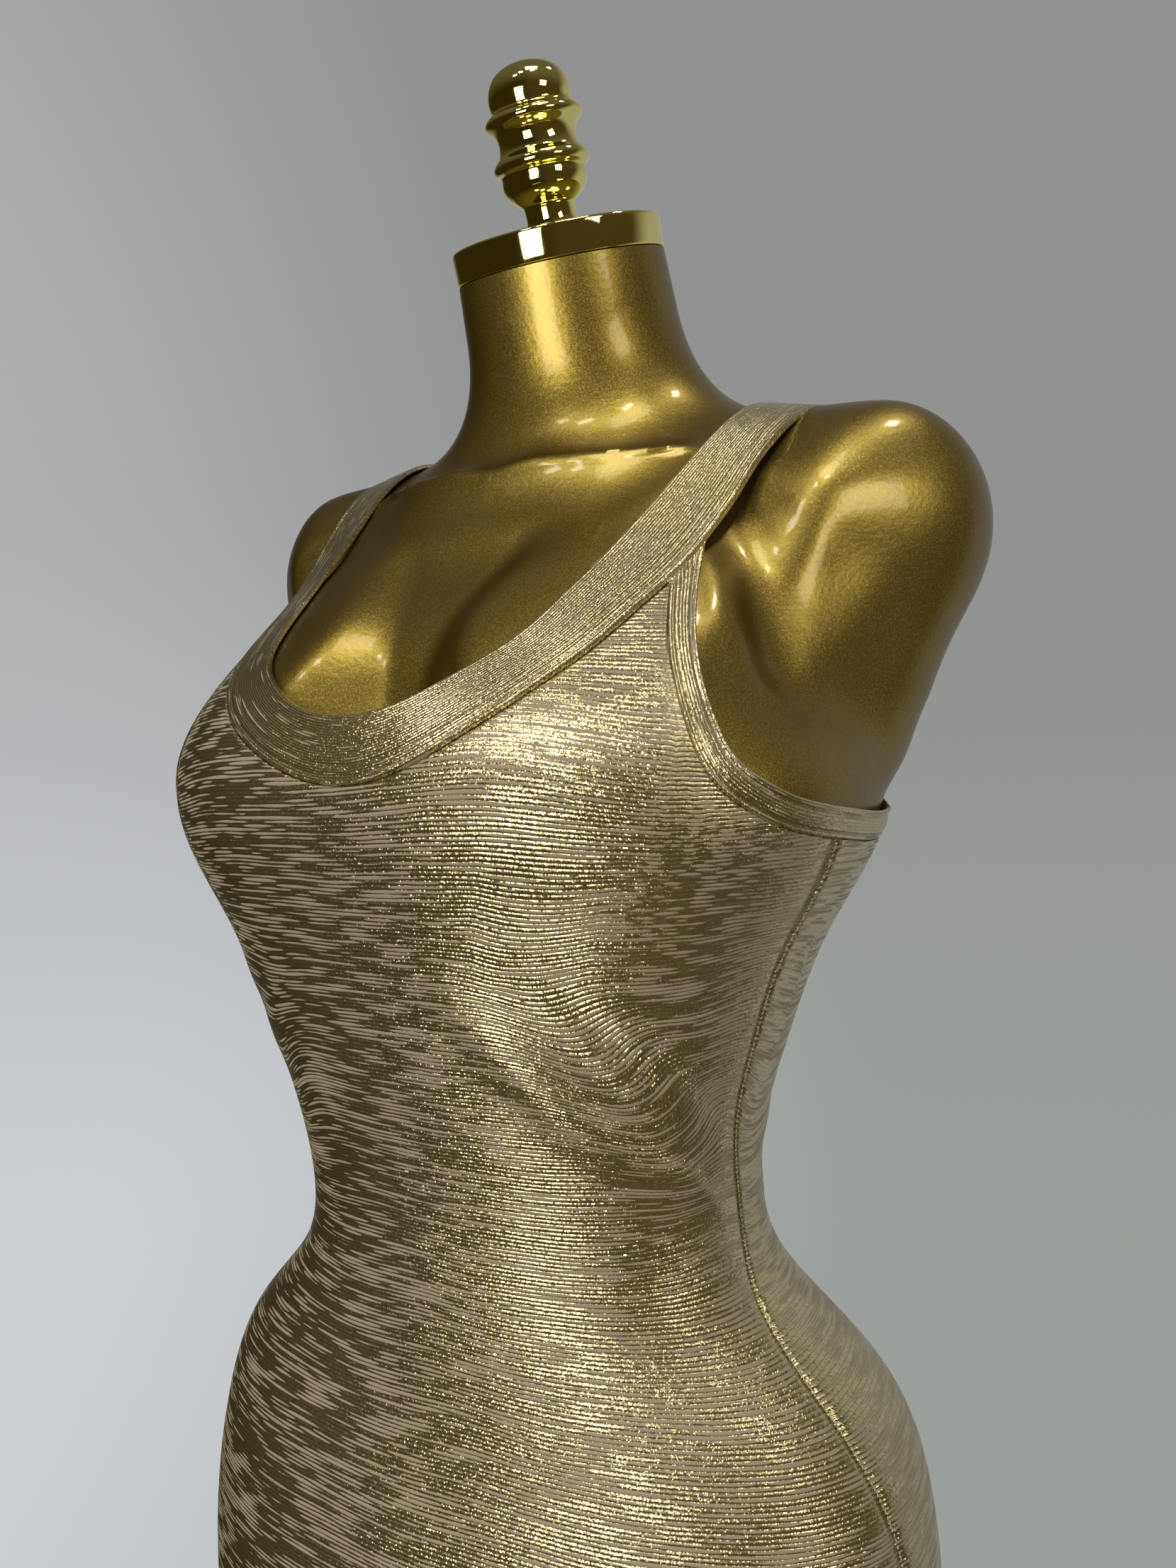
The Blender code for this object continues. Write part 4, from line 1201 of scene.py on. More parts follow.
def form_rings():
    """Origins and directions for the form's rings from its bottom edge to the top of its neck."""
    heights = np.concatenate(
        [
            np.linspace(FORM_BOTTOM + FORM_EDGE, 940, 22, endpoint=False),
            np.linspace(940, 1060, 14, endpoint=False),
            np.linspace(1060, 1184, 20, endpoint=False),
        ]
    )
    rings = [(figure_centre(height), height, 0.0, 0.0) for height in heights]
    # Where the upper rings are cast from: station, origin y, origin height, rise and lean in degrees.
    fan_rows = (
        (0, -4, 1184, 0, 0),
        (1, 6, 1250, 0, 0),
        (2, 30, 1310, 3, 0),
        (3, 46, 1340, 26, 0),
        (4, 57, 1362, 46, 5),
        (5, 66, 1388, 47, 12),
        (6, 64, 1422, 24, 18),
        (7, 53, 1458, 6, 21),
        (8, 39, 1495.3, 0, 21),
    )
    fan = splines_of(fan_rows)
    stations = np.concatenate([np.arange(0, 2, 0.05), np.arange(2, 5, 0.035), np.arange(5, 8, 0.07)])
    neck_foot = CAP_THICKNESS + TOUCHING_GAP
    last_y = CAP_TOP_Y + neck_foot * math.sin(NECK_LEAN)
    last_height = CAP_TOP_HEIGHT - neck_foot * math.cos(NECK_LEAN)
    for station in stations:
        y, height, rise, lean = (float(column(station)) for column in fan)
        rings.append((y, height, math.radians(rise), math.radians(lean)))
    rings.append((last_y, last_height, 0.0, NECK_LEAN))
    return rings


def build_form():
    """The form's skin, ring by ring, with a rounded lower edge."""
    angles = np.linspace(-np.pi, np.pi, 272, endpoint=False)
    cosines, sines = np.cos(angles), np.sin(angles)
    origins, directions = [], []
    for y, height, rise, lean in form_rings():
        level = np.stack([cosines, sines * math.cos(lean), sines * math.sin(lean)], -1)
        axis = np.array([0, -math.sin(lean), math.cos(lean)])
        directions.append(level * math.cos(rise) + axis * math.sin(rise))
        origins.append(np.broadcast_to(np.array([0, y, height]), level.shape))
    rows = cast_to_form(np.array(origins), np.array(directions), distance=skin_distance)
    middle = np.array([0, float(figure_centre(FORM_BOTTOM)), FORM_BOTTOM])
    under = []
    for inset, drop in ((0.0, 4.0), (0.025, 1.4), (0.06, 0.2), (0.1, 0.0)):
        ring = rows[0] * np.array([1, 1, 0]) + np.array([0, 0, FORM_BOTTOM + drop])
        under.insert(0, middle + (ring - middle) * np.array([1 - inset, 1 - inset, 1]))
    points = np.concatenate([np.array(under), rows])
    piece = grid_piece("dress_form", points, [finish("paint")], closed_columns=True)
    close_up(piece)
    make_active(piece)
    bpy.ops.object.shade_smooth_by_angle(angle=math.radians(50))
    return piece


def panel_grid(back, neck_count, arm_count):
    """A whole panel's angles and heights, and each point's distance to its top and side edges."""
    centre = np.pi / 2 if back else -np.pi / 2
    gap = 0.12
    top = panel_top(back, neck_count, arm_count, gap)
    top[0, 0] = centre
    columns = len(top)
    run = run_along(figure_point(top[:, 0], UNDERARM_HEIGHT))
    spread = 0.5 * np.linspace(0, 1, columns) + 0.5 * run / run[-1]

    def seam_side(height):
        seam = np.radians(seam_angle(height))
        half_gap = gap / figure_radius(seam, height)
        return seam + (half_gap if back else -half_gap)

    def arm_limit(heights):
        """The most angle that keeps each front column inside the armhole."""
        arm = top[neck_count:][::-1]
        lean = 0.08 * smooth_step(1225, 1265, top[:, 1]) * (top[:, 1] - heights) / 125.0
        crowd = 0.5 * np.maximum(arm[-1, 0] - top[:, 0], 0)
        return np.interp(heights, arm[:, 1], arm[:, 0]) - lean - crowd

    def level_row(height):
        fine = np.linspace(centre, seam_side(height), 240)
        run = run_along(figure_point(fine, height))
        return np.interp(spread * run[-1], run, fine)

    low = HEM_HEIGHT + np.array([0, 0.4, 1.2, 3.0, 7.0, 11.0, 13.6, 14.6, 15.6, 17.0])
    heights = np.concatenate([low, np.linspace(621, UNDERARM_HEIGHT, 138)])
    angle_rows = [level_row(height) for height in heights]
    height_rows = [np.full(columns, height) for height in heights]
    base = angle_rows[-1]
    steps = 38
    rise = top[:, 1] - UNDERARM_HEIGHT
    shares = [step / steps * (1 - 4.5 / rise) for step in range(1, steps)]
    shares += [1 - distance / rise for distance in (3.0, 1.9, 1.1, 0.55, 0.2, 0.0)]
    for share in shares:
        angles = base + (top[:, 0] - base) * share * (1.25 - 0.25 * share)
        heights_here = UNDERARM_HEIGHT + rise * share
        if not back:
            angles = np.minimum(angles, arm_limit(heights_here))
        angles[-1] = seam_side(heights_here[-1])
        angle_rows.append(angles)
        height_rows.append(heights_here)
    angles, heights = np.array(angle_rows), np.array(height_rows)
    surface = figure_point(angles, heights)
    run = run_along(surface)
    to_side = run[:, -1:] - run
    to_top = np.linalg.norm(surface - surface[-1:], axis=-1)

    def both(values, sign=1.0, offset=0.0):
        mirrored = offset + sign * values
        whole = np.concatenate([mirrored[:, :0:-1], values], 1)
        return whole[:, ::-1] if back else whole

    whole_angles = both(angles, -1.0, np.pi if back else -np.pi)
    return whole_angles, both(heights), both(run, -1.0), both(to_side), both(to_top)


def build_panel(name, back):
    """A whole panel with its folds, puckers, turned hem and rolled edges, and its thickness."""
    neck_count, arm_count = (36, 44) if back else (46, 46)
    angles, heights, run, to_side, to_top = panel_grid(back, neck_count, arm_count)
    above_hem = heights - HEM_HEIGHT
    lift = fold_rise(angles, heights, CREASE_ROWS)
    # Uneven puckers along the side seams, fading into the panel.
    side_seed = np.where(np.cos(angles) > 0, 1.3, 4.1) + (2.2 if back else 0.0)
    reach, pucker_height = (26.0, 0.55) if back else (9.0, 0.3)
    near_side = np.exp(-to_side / reach) * smooth_step(0.0, 3.0, to_side)
    lift += pucker_height * near_side * wave(heights / 2.1 + 0.05 * to_side, side_seed)
    # The top edge, with the pull of the armhole binding.
    pull = np.exp(-to_top / 7.0) * smooth_step(0, 2.5, to_top) * wave(run / 5.0 + heights / 6.0, 2.0)
    lift += 0.35 * smooth_step(1190, 1225, heights) * pull
    # The hem's turn, and its groove where it is stitched.
    hem = sizes().hem_turn / MM
    lift += 0.55 * (1 - smooth_step(hem - 1.2, hem + 0.2, above_hem))
    lift -= 0.35 * bell(above_hem, hem + 0.9, 0.9) + 0.5 * (1 - round_edge(above_hem, 1.2))
    # Edges that turn in to their seams.
    lift -= 1.1 * (1 - round_edge(to_top, 1.3)) * (heights > UNDERARM_HEIGHT)
    lift += 0.35 * bell(to_side, 1.0, 0.8) - 0.9 * (1 - round_edge(to_side, 0.9))
    points = figure_point(angles, heights, -lift)
    map_start = BACK_MAP_START if back else 0
    uv = np.stack([run + map_start, heights - row_drift(angles, heights)], -1) * MM
    piece = grid_piece(name, points, [finish("panel"), finish("wrong")], uv=uv)
    wall = piece.modifiers.new("Wall", "SOLIDIFY")
    wall.thickness = sizes().cloth_thickness
    wall.offset = -1.0
    wall.use_even_offset = False
    wall.material_offset = 1
    wall.material_offset_rim = 0
    make_active(piece)
    bpy.ops.object.modifier_apply(modifier=wall.name)
    return piece


def tube_map(along, across, start):
    """The map of a grid that closes on itself across, in metres, with its first row again at its end."""
    uv = np.stack(np.broadcast_arrays(along + start[0], across[:, None] + start[1]), -1) * MM
    return np.concatenate([uv, uv[:1]])


def band_section(width):
    """The neck band's cross-section: shares across, rises, and how many of them are on its right side."""
    inner_edge = (0.0, 0.12, 0.4, 0.8, 1.3, 2.0)
    from_outer = (9.6, 9.0, 8.5, 8.0, 7.4, 6.0, 5.0, 4.4, 4.0, 3.6, 3.0, 2.3, 1.7, 1.2, 0.8, 0.4, 0.12, 0.0)
    middle = np.linspace(inner_edge[-1], width - from_outer[0], 12)[1:-1]
    across = np.concatenate([inner_edge, middle, width - np.array(from_outer)])
    to_outer = width - across
    edge_rise = 0.15
    thickness = sizes().band_thickness / MM
    rise = edge_rise + (thickness - edge_rise) * round_edge(across, 1.0) * round_edge(to_outer, 0.7)
    # The outer roll, the two sewn grooves and the swell between them: place, half width, rise.
    rolls = ((1.5, 0.7, 0.30), (4.0, 0.42, -0.42), (8.5, 0.45, -0.30), (6.2, 1.2, 0.12))
    rise += sum(most * bell(to_outer, place, half_width) for place, half_width, most in rolls)
    under = np.linspace(width, 0, 9)
    return np.concatenate([across, under]) / width, np.concatenate([rise, 0 * under]), len(across)


def build_neck_band():
    """The band all round, with its rolls and grooves, a slight crown and a slight sway."""
    half = neck_band_half(np.linspace(0, 1, 230), (0.0, 1.0))
    whole = np.concatenate([half, half[-2:0:-1] * FLIPPED])
    inner, outer = whole[:, 0], whole[:, 1]
    middle = (inner + outer) / 2
    along = np.roll(middle, -1, 0) - np.roll(middle, 1, 0)
    outward = -unit(np.cross(along, outer - inner))
    run = run_along(np.concatenate([middle, middle[:1]]))
    across, rise, right_count = band_section(BAND_WIDTH)
    crown = 0.25 * (1 + wave(6 * math.tau * run[:-1] / run[-1], 1.0))
    sway = 0.12 * wave(run[:-1] / 9.0, 3.0)
    on_top = np.where(np.arange(len(rise)) < right_count, np.sin(np.pi * across), 0)
    lift = rise[:, None] + on_top[:, None] * (crown + sway)
    points = inner + (outer - inner) * across[:, None, None] + outward * lift[..., None]
    uv = tube_map(run, across * BAND_WIDTH, BAND_MAP_START)
    slots = np.where(np.arange(len(across)) < right_count - 1, 0, 1)[:, None]
    finishes = [finish("band"), finish("wrong")]
    closed = {"closed_rows": True, "closed_columns": True}
    piece = grid_piece("neck_band_knit", points, finishes, uv=uv, slots=slots, **closed)
    close_up(piece)
    return piece


def binding_section():
    """The binding's cross-section from its panel side to its arm side: offset, rise, slot."""
    rows = (
        (6.15, 0.2, 1),
        (6.1, 1.1, 1),
        (5.7, 1.75, 1),
        (5.2, 2.0, 1),
        (4.7, 1.8, 1),
        (4.3, 1.25, 1),
        (4.05, 1.1, 0),
        (3.8, 1.4, 0),
        (3.4, 1.9, 0),
        (2.6, 2.25, 0),
        (1.4, 2.4, 0),
        (0.0, 2.4, 0),
        (-1.2, 2.3, 0),
        (-2.0, 2.05, 0),
        (-2.6, 1.6, 0),
        (-2.95, 1.2, 1),
        (-3.3, 1.3, 1),
        (-3.9, 1.6, 1),
        (-4.8, 1.65, 1),
        (-5.5, 1.5, 1),
        (-5.9, 1.1, 1),
        (-6.0, 0.5, 2),
        (-5.9, 0.1, 2),
        (-3.0, 0.0, 2),
        (0.0, 0.0, 2),
        (3.0, 0.0, 2),
        (5.9, 0.0, 2),
    )
    return [np.array(column) for column in zip(*rows)]


def build_binding(side):
    """The binding of one armhole. The side is 1 for the wearer's left and -1 for the right."""
    offsets, rises, slots = binding_section()
    thickness = sizes().binding_rise / MM / 2.2
    lines = []
    for offset in offsets:
        line = armhole_line(offset)
        first, last = armhole_ends(line, -1.2)
        lines.append(at_run(line, np.arange(len(line)), np.linspace(first, last, 170)))
    lines = np.array(lines)
    along = np.linspace(0, 1, lines.shape[1])
    # It lies lower where the neck band covers its ends, and its lip stands off under the arm.
    ends = smooth_step(0, 0.03, along) * smooth_step(0, 0.03, 1 - along)
    lip = np.clip((-offsets - 2.0) / 4.0, 0, 1)[:, None]
    rise = rises[:, None] * thickness * (0.45 + 0.55 * ends)
    rise += lip * 1.1 * bell(along, 0.55, 0.16) * (1 + 0.3 * wave(along * 60, 1.0))
    rise += 0.1 * wave(along * 110, 2.0) * (rises[:, None] > 0.3)
    points = figure_point(lines[..., 0], lines[..., 1], PANEL_WALL - rise)
    run = run_along(points[np.argmax(rises)])
    map_start = (BINDING_MAP_START[0] + BINDING_MAP_STEP * side, BINDING_MAP_START[1])
    if side < 0:
        points = points * FLIPPED
    name = f"armhole_binding_{'left' if side > 0 else 'right'}"
    finishes = [finish("band"), finish("edge"), finish("wrong")]
    uv = tube_map(run, offsets, map_start)
    piece = grid_piece(name, points, finishes, uv=uv, closed_rows=True, slots=slots[:, None])
    close_up(piece)
    return piece


# --------------------------------------------------------------------------------------- the stitches


def surface_frame(points):
    """Unit vectors along a line of points on the figure, out of it and across it."""
    along = unit(np.gradient(points, axis=0))
    angle = to_angle_height(points)[:, 0]
    outward = np.stack([np.cos(angle), np.sin(angle), 0 * angle], -1)
    outward = unit(outward - along * np.sum(outward * along, 1)[:, None])
    return along, outward, np.cross(along, outward)


def sewn(name, places, size, finish_name):
    """One small rounded stitch, its size in millimetres, copied to each place and joined in one mesh."""
    deselect()
    bpy.ops.mesh.primitive_uv_sphere_add(segments=6, ring_count=5, radius=0.5 * MM)
    stitch = bpy.context.active_object
    bpy.ops.object.mode_set(mode="EDIT")
    bpy.ops.mesh.select_all(action="SELECT")
    bpy.ops.transform.resize(value=size)
    bpy.ops.object.mode_set(mode="OBJECT")
    corners = np.array([vertex.co for vertex in stitch.data.vertices], np.float32)
    faces = [list(face.vertices) for face in stitch.data.polygons]
    bpy.data.objects.remove(stitch)
    points, all_faces = [], []
    for number, matrix in enumerate(places):
        points.append(corners @ matrix[:3, :3].T + matrix[:3, 3])
        all_faces += [[corner + number * len(corners) for corner in face] for face in faces]
    mesh = bpy.data.meshes.new(name)
    mesh.from_pydata(np.concatenate(points).tolist(), [], all_faces)
    return link_piece(name, mesh, finish(finish_name))


def stitch_matrix(point, along, outward, across, turn):
    """A stitch's place in metres, turned in the surface."""
    matrix = np.eye(4)
    matrix[:3, 0] = along * math.cos(turn) + across * math.sin(turn)
    matrix[:3, 1] = across * math.cos(turn) - along * math.sin(turn)
    matrix[:3, 2] = outward
    matrix[:3, 3] = point * MM
    return matrix


def row_of_stitches(line, pitch, lift, turns):
    """Matrices along a line of points on the figure, a pitch apart."""
    run = run_along(line)
    points = at_run(line, run, np.arange(pitch / 2, run[-1], pitch))
    places = []
    for number, (point, along, outward, across) in enumerate(zip(points, *surface_frame(points))):
        turn = turns[number % len(turns)] + 0.12 * math.sin(number * 2.4)
        places.append(stitch_matrix(point + outward * lift, along, outward, across, turn))
    return places


def build_side_stitches():
    """The overlock stitches down both side seams."""
    pitch = sizes().stitch_pitch / MM
    top = armhole_line(BINDING_WIDTH / 2)
    seam_top = top[np.flatnonzero(top[:, 0] > np.radians(seam_angle(top[:, 1])))[0], 1]
    heights = np.linspace(HEM_HEIGHT + 1, seam_top - 1, 400)
    line = figure_point(np.radians(seam_angle(heights)), heights)
    places = row_of_stitches(line, pitch, 0.05, (0.5, 0.35))
    places += row_of_stitches(line * FLIPPED, pitch, 0.05, (0.5, 0.35))
    return sewn("side_seam_stitches", places, (1.9, 0.75, 0.5), "foil_thread")


def build_hem_stitches():
    """The two rows of stitches round the hem."""
    places = []
    hem = sizes().hem_turn / MM
    angles = np.linspace(-np.pi, np.pi, 600)
    for drop in (1.4, 4.4):
        places += row_of_stitches(figure_point(angles, HEM_HEIGHT + hem - drop), 3.2, 0.5, (0.0,))
    return sewn("hem_stitches", places, (2.6, 0.55, 0.35), "loose")


def build_band_stitches():
    """The sewing that shows in the band's outer groove."""
    half = neck_band_half(np.linspace(0, 1, 900), (0.0, 1.0))
    whole = np.concatenate([half, half[-2::-1] * FLIPPED])
    inner, outer = whole[:, 0], whole[:, 1]
    along = np.gradient((inner + outer) / 2, axis=0)
    outward = -unit(np.cross(along, outer - inner))
    line = outer - 4.0 * unit(outer - inner) + 1.75 * outward
    run = run_along(line)
    at = np.arange(1.0, run[-1] - 1.0, 2.6)
    points, normals = at_run(line, run, at), at_run(outward, run, at)
    forward = unit(np.gradient(points, axis=0))
    places = [
        stitch_matrix(point, ahead, normal, np.cross(normal, ahead), 0.0)
        for point, ahead, normal in zip(points, forward, normals)
    ]
    return sewn("neck_band_stitches", places, (2.0, 0.4, 0.3), "foil_thread")


# ------------------------------------------------------------------------------------- the operators


class DRESS_OT_form(bpy.types.Operator):
    """Build the limbless dress form"""

    bl_idname = "dress.form"
    bl_label = "Dress Form"

    def execute(self, context):
        piece = build_form()
        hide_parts("form")
        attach(piece, BODY)
        return {"FINISHED"}


class DRESS_OT_panels(bpy.types.Operator):
    """Build the dress's front and back panels"""

    bl_idname = "dress.panels"
    bl_label = "Front and Back Panels"

    def execute(self, context):
        for name, back, node, cut in (
            ("dress_front", False, "front_panel", (0.40, 0.72, 0.228)),
            ("dress_back", True, "back_panel", (0.50, 0.72, 0.290)),
        ):
            piece = build_panel(name, back)
            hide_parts(node)
            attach(piece, BODY)
        return {"FINISHED"}


class DRESS_OT_neck_band(bpy.types.Operator):
    """Build the neck band and its stitches"""

    bl_idname = "dress.neck_band"
    bl_label = "Neck Band"

    def execute(self, context):
        piece = build_neck_band()
        stitches = build_band_stitches()
        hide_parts("neck_band")
        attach(piece, BODY)
        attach(stitches, BODY)
        return {"FINISHED"}


class DRESS_OT_bindings(bpy.types.Operator):
    """Build the armhole bindings"""

    bl_idname = "dress.bindings"
    bl_label = "Armhole Bindings"

    def execute(self, context):
        for side, node in ((1, "arm_binding_left"), (-1, "arm_binding_right")):
            piece = build_binding(side)
            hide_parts(node)
            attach(piece, BODY)
        return {"FINISHED"}


class DRESS_OT_sewing(bpy.types.Operator):
    """Add the side seams' and the hem's stitches"""

    bl_idname = "dress.sewing"
    bl_label = "Seam and Hem Stitches"

    def execute(self, context):
        for piece in (build_side_stitches(), build_hem_stitches()):
            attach(piece, BODY)
        return {"FINISHED"}


class DRESS_OT_cap(bpy.types.Operator):
    """Build the neck cap and the finial"""

    bl_idname = "dress.cap"
    bl_label = "Neck Cap and Finial"

    def execute(self, context):
        profile = (
            (0, 0),
            (20, 0),
            (CAP_RADIUS - 1.6, 0),
            (CAP_RADIUS - 0.9, -0.12),
            (CAP_RADIUS - 0.35, -0.5),
            (CAP_RADIUS - 0.08, -1.1),
            (CAP_RADIUS, -1.8),
            (CAP_RADIUS, 1.2 - CAP_THICKNESS),
            (CAP_RADIUS - 0.15, 0.6 - CAP_THICKNESS),
            (CAP_RADIUS - 0.6, 0.15 - CAP_THICKNESS),
            (CAP_RADIUS - 1.2, -CAP_THICKNESS),
            (0, -CAP_THICKNESS),
        )
        place = (0, CAP_TOP_Y, CAP_TOP_HEIGHT)
        cap = turned_piece("neck_cap_chrome", profile, finish("chrome"), 160, NECK_LEAN, place)
        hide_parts("neck_cap")
        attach(cap, BODY)
        lifted = (
            0,
            CAP_TOP_Y - TOUCHING_GAP * math.sin(NECK_LEAN),
            CAP_TOP_HEIGHT + TOUCHING_GAP * math.cos(NECK_LEAN),
        )
        outline = smooth_profile(FINIAL_PROFILE, 4)
        outline[0] = (0.0, outline[0][1])
        outline.append((0.0, 0.0))
        finial = turned_piece("finial_chrome", outline, finish("chrome"), 96, NECK_LEAN, lifted)
        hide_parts("finial")
        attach(finial, BODY)
        return {"FINISHED"}


class DRESS_OT_stand(bpy.types.Operator):
    """Build the base plate, its hub, the pole and the collar under the form"""

    bl_idname = "dress.stand"
    bl_label = "Pole and Base"

    def execute(self, context):
        metal = finish("stand")
        foot = BASE_THICKNESS + TOUCHING_GAP
        top = FORM_BOTTOM - TOUCHING_GAP
        bore = POLE_RADIUS + TOUCHING_GAP
        pieces = (
            (
                "base_plate_metal",
                "base_plate",
                (
                    (0, BASE_THICKNESS),
                    (60, BASE_THICKNESS),
                    (BASE_RADIUS - 4, BASE_THICKNESS),
                    (BASE_RADIUS - 2.2, BASE_THICKNESS - 0.3),
                    (BASE_RADIUS - 0.8, BASE_THICKNESS - 1.2),
                    (BASE_RADIUS, BASE_THICKNESS - 3),
                    (BASE_RADIUS, 0.4),
                    (BASE_RADIUS - 0.4, 0),
                    (0, 0),
                ),
            ),
            (
                "base_hub_metal",
                "base_hub",
                (
                    (bore, foot + HUB_HEIGHT),
                    (POLE_RADIUS + 4.6, foot + HUB_HEIGHT),
                    (POLE_RADIUS + 6.2, foot + HUB_HEIGHT - 0.6),
                    (POLE_RADIUS + 7, foot + HUB_HEIGHT - 2),
                    (POLE_RADIUS + 7, foot + 16),
                    (POLE_RADIUS + 8, foot + 12),
                    (POLE_RADIUS + 11, foot + 8.6),
                    (HUB_RADIUS - 3, foot + 6.6),
                    (HUB_RADIUS - 0.8, foot + 5.4),
                    (HUB_RADIUS, foot + 4),
                    (HUB_RADIUS, foot),
                    (bore, foot),
                    (bore, foot + HUB_HEIGHT),
                ),
            ),
            ("pole_metal", "pole", ((0, top), (POLE_RADIUS, top), (POLE_RADIUS, foot), (0, foot))),
            (
                "collar_metal",
                "collar",
                (
                    (bore, top),
                    (COLLAR_RADIUS - 0.6, top),
                    (COLLAR_RADIUS, top - 0.6),
                    (COLLAR_RADIUS, top - 4.2),
                    (COLLAR_RADIUS - 1, top - 5.2),
                    (POLE_RADIUS + 10, top - 9),
                    (POLE_RADIUS + 8, top - 12),
                    (POLE_RADIUS + 7, top - COLLAR_HEIGHT + 2),
                    (POLE_RADIUS + 6.2, top - COLLAR_HEIGHT + 0.6),
                    (POLE_RADIUS + 5, top - COLLAR_HEIGHT),
                    (bore, top - COLLAR_HEIGHT),
                    (bore, top),
                ),
            ),
        )
        for name, node, profile in pieces:
            piece = turned_piece(name, profile, metal, 96)
            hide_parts(node)
            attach(piece, BODY)
        return {"FINISHED"}


WARM_WHITE = (1.0, 0.97, 0.90)
FILL_WHITE = (1.0, 0.98, 0.92)

# The soft lights: name, place, size, power, tint, and whether shiny pieces mirror them.
SOFT_LIGHTS = (
    ("key_softbox", (0.08, -1.80, 1.12), (0.75, 1.0), 17, (1.0, 0.965, 0.88), True),
    ("ceiling_softbox", (0.46, -0.66, 3.3), (0.7, 0.5), 6, WARM_WHITE, True),
    ("side_window", (1.90, -0.79, 2.0), (0.6, 0.7), 7, WARM_WHITE, True),
    ("left_fill", (-1.8, -0.9, 1.6), (0.9, 1.3), 15, FILL_WHITE, False),
    ("right_fill", (1.9, 0.2, 1.8), (0.9, 1.3), 2, FILL_WHITE, False),
)

# The small lamps overhead: turn and rise in degrees, distance, size, power.
CEILING_LAMPS = (
    (-12, 46, 2.2, (0.26, 0.16), 2.5),
    (2, 54, 2.2, (0.26, 0.16), 3.0),
    (38, 58, 2.2, (0.26, 0.16), 4.0),
    (114, 66, 2.0, (0.20, 0.16), 3.5),
)
CHEST = (0.0, 0.0, 1.25)


def soft_light(name, place, size, power, tint, mirrored):
    """A soft rectangular light, aimed at the chest."""
    data = bpy.data.lights.new(name, "AREA")
    data.shape = "RECTANGLE"
    data.size, data.size_y = size
    data.energy = power * bpy.context.scene.stage_settings.light
    data.color = tint
    lamp = bpy.data.objects.new(name, data)
    bpy.context.scene.collection.objects.link(lamp)
    lamp.visible_glossy = mirrored
    lamp.location = place
    lamp.rotation_euler = (Vector(CHEST) - Vector(place)).to_track_quat("-Z", "Y").to_euler()


def add_camera():
    """The camera, turned round the form and set by its yaw, pitch and roll."""
    stage = bpy.context.scene.stage_settings
    turn, level = stage.camera_turn + stage.yaw, math.cos(stage.pitch)
    forward = Vector((-math.sin(turn) * level, math.cos(turn) * level, math.sin(stage.pitch)))
    right = Vector((math.cos(turn), math.sin(turn), 0))
    up = right.cross(forward)
    rolled_right = right * math.cos(stage.roll) + up * math.sin(stage.roll)
    rolled_up = up * math.cos(stage.roll) - right * math.sin(stage.roll)
    away = stage.camera_distance
    ground_place = (away * math.sin(stage.camera_turn), -away * math.cos(stage.camera_turn))
    data = bpy.data.cameras.new("camera")
    data.sensor_fit = "VERTICAL"
    data.sensor_height = 36
    data.lens = stage.lens
    data.clip_start = 0.02
    camera = bpy.data.objects.new("camera", data)
    bpy.context.scene.collection.objects.link(camera)
    matrix = Matrix((rolled_right, rolled_up, -forward)).transposed().to_4x4()
    matrix.translation = (*ground_place, stage.camera_height)
    camera.matrix_world = matrix
    bpy.context.scene.camera = camera


def add_world():
    """A pale room: a light wall behind, a dimmer room in front and a soft ceiling."""
    colours = bpy.context.scene.dress_colours
    world = bpy.data.worlds.new("pale_room")
    bpy.context.scene.world = world
    world.use_nodes = True
    n = Nodes(world.node_tree)
    background = world.node_tree.nodes["Background"]
    direction = n.parts(n.add("TexCoord").outputs["Generated"])
    wall = n.between(direction["Y"], 0.38, 0.80)
    ceiling = n.between(direction["Z"], 0.2, 0.9)
    side_wall = n.between(direction["X"], 0.15, 0.60)
    room = n.mix(side_wall, (0.030, 0.021, 0.007, 1), (0.060, 0.046, 0.020, 1))
    room = n.mix(wall, room, rgba(colours.wall))
    room = n.mix(n.times(ceiling, 0.5), room, (0.22, 0.205, 0.16, 1))
    lower = n.mix(n.between(direction["X"], -0.78, -0.25), (0.60, 0.62, 0.65, 1), (0.33, 0.35, 0.33, 1))
    upper = n.mix(n.between(direction["X"], -0.85, -0.45), (0.42, 0.43, 0.44, 1), (0.28, 0.285, 0.28, 1))
    seen = n.mix(n.between(direction["Z"], -0.35, 0.25), lower, upper)
    camera_ray = n.add("LightPath").outputs["Is Camera Ray"]
    n.put(background.inputs["Color"], n.mix(camera_ray, room, seen))


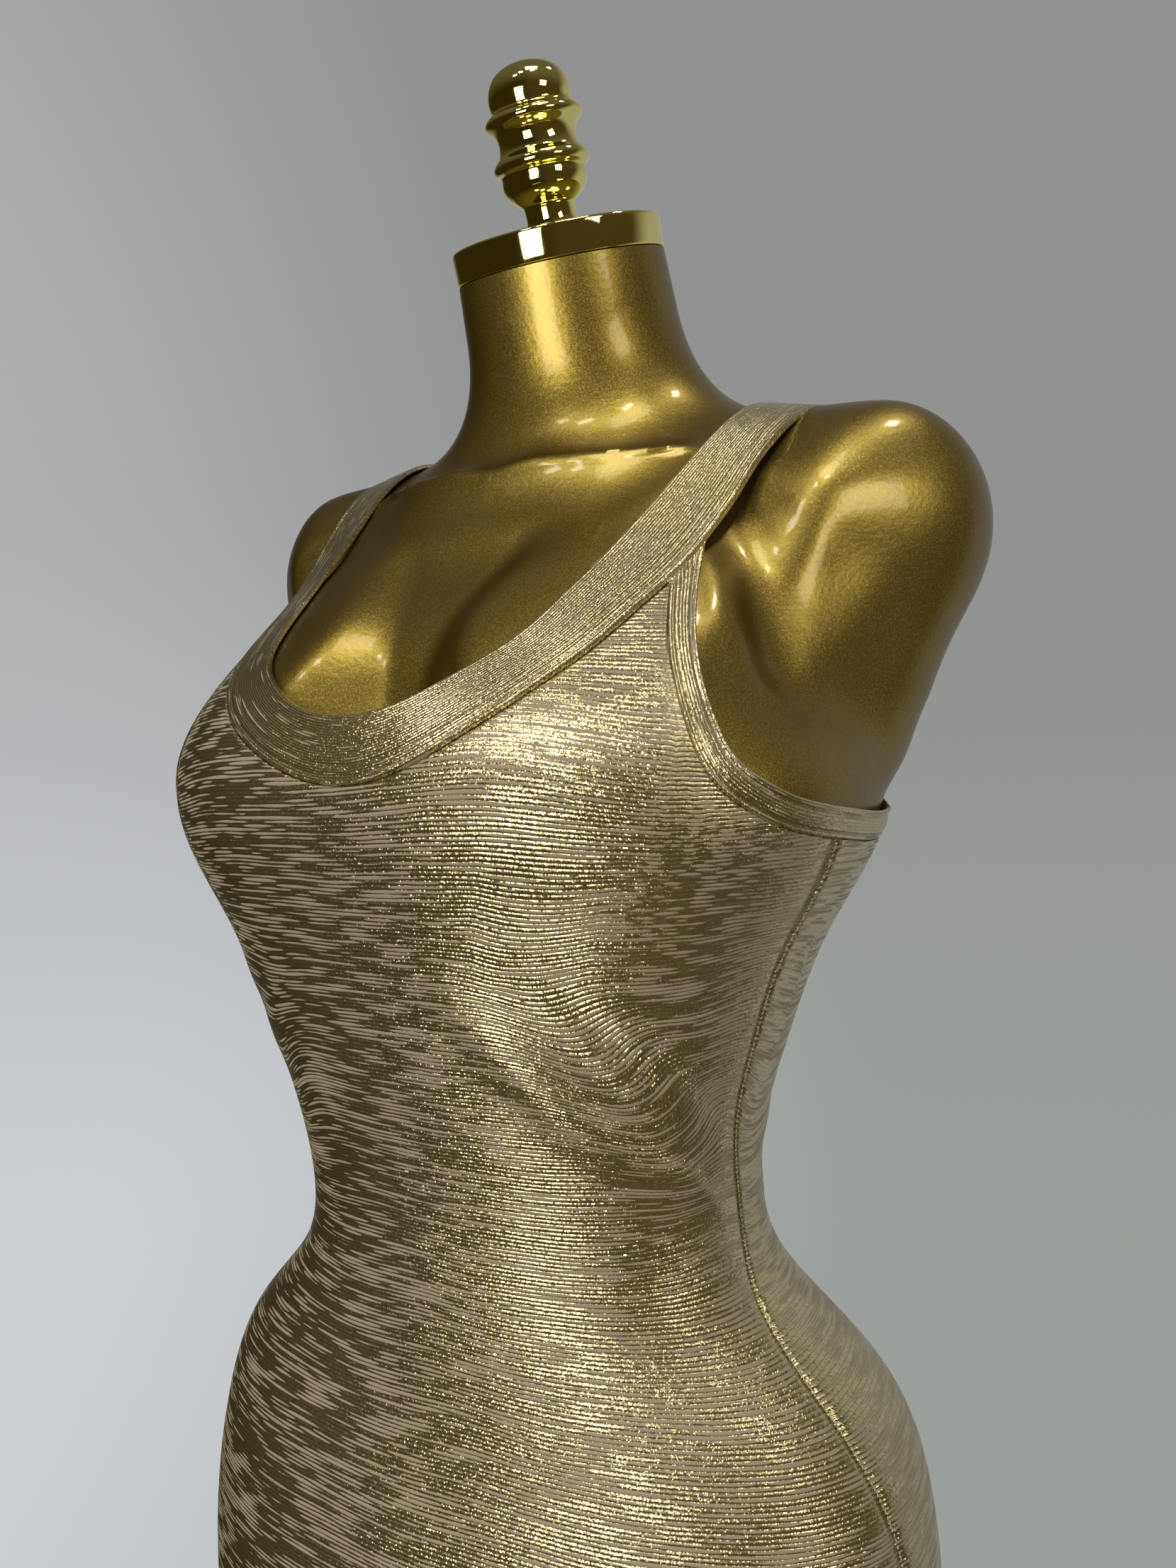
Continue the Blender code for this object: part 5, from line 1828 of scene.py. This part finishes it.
class DRESS_OT_stage(bpy.types.Operator):
    """Add the floor, the pale room, the soft lights and the camera"""

    bl_idname = "dress.stage"
    bl_label = "Stage"

    def execute(self, context):
        deselect()
        just_below = (0, 0, -0.0005)
        bpy.ops.mesh.primitive_circle_add(vertices=128, radius=1.2, fill_type="NGON", location=just_below)
        floor = context.active_object
        floor.name = "floor"
        floor.data.materials.append(stage_material("matt_floor", context.scene.dress_colours.floor, 0.8))
        floor.visible_glossy = False
        for light in SOFT_LIGHTS:
            soft_light(*light)
        for number, (turn, rise, distance, size, power) in enumerate(CEILING_LAMPS):
            turn, rise = math.radians(turn), math.radians(rise)
            place = (
                distance * math.sin(turn) * math.cos(rise),
                -distance * math.cos(turn) * math.cos(rise),
                CHEST[2] + 0.05 + distance * math.sin(rise),
            )
            soft_light(f"ceiling_lamp_{number}", place, size, power, WARM_WHITE, True)
        context.scene.view_settings.view_transform = "Standard"
        add_world()
        add_camera()
        return {"FINISHED"}


class DRESS_PT_panel(bpy.types.Panel):
    """The dress's pieces, sizes and colours"""

    bl_label = "Dress"
    bl_idname = "DRESS_PT_panel"
    bl_space_type = "VIEW_3D"
    bl_region_type = "UI"
    bl_category = "Dress"

    def draw(self, context):
        for operator in OPERATORS:
            self.layout.operator(operator.bl_idname)
        for group in (context.scene.dress_sizes, context.scene.dress_colours, context.scene.stage_settings):
            box = self.layout.box()
            for label in type(group).__annotations__:
                box.prop(group, label)


OPERATORS = (
    DRESS_OT_form,
    DRESS_OT_panels,
    DRESS_OT_neck_band,
    DRESS_OT_bindings,
    DRESS_OT_sewing,
    DRESS_OT_cap,
    DRESS_OT_stand,
    DRESS_OT_stage,
)
CLASSES = (DressSizes, DressColours, StageSettings, *OPERATORS, DRESS_PT_panel)


def register():
    for each in CLASSES:
        bpy.utils.register_class(each)
    bpy.types.Scene.dress_sizes = PointerProperty(type=DressSizes)
    bpy.types.Scene.dress_colours = PointerProperty(type=DressColours)
    bpy.types.Scene.stage_settings = PointerProperty(type=StageSettings)


def unregister():
    for label in ("stage_settings", "dress_colours", "dress_sizes"):
        delattr(bpy.types.Scene, label)
    for each in reversed(CLASSES):
        bpy.utils.unregister_class(each)


def main():
    register()
    for operator in OPERATORS:
        area, name = operator.bl_idname.split(".")
        getattr(getattr(bpy.ops, area), name)()


if __name__ == "__main__":
    main()
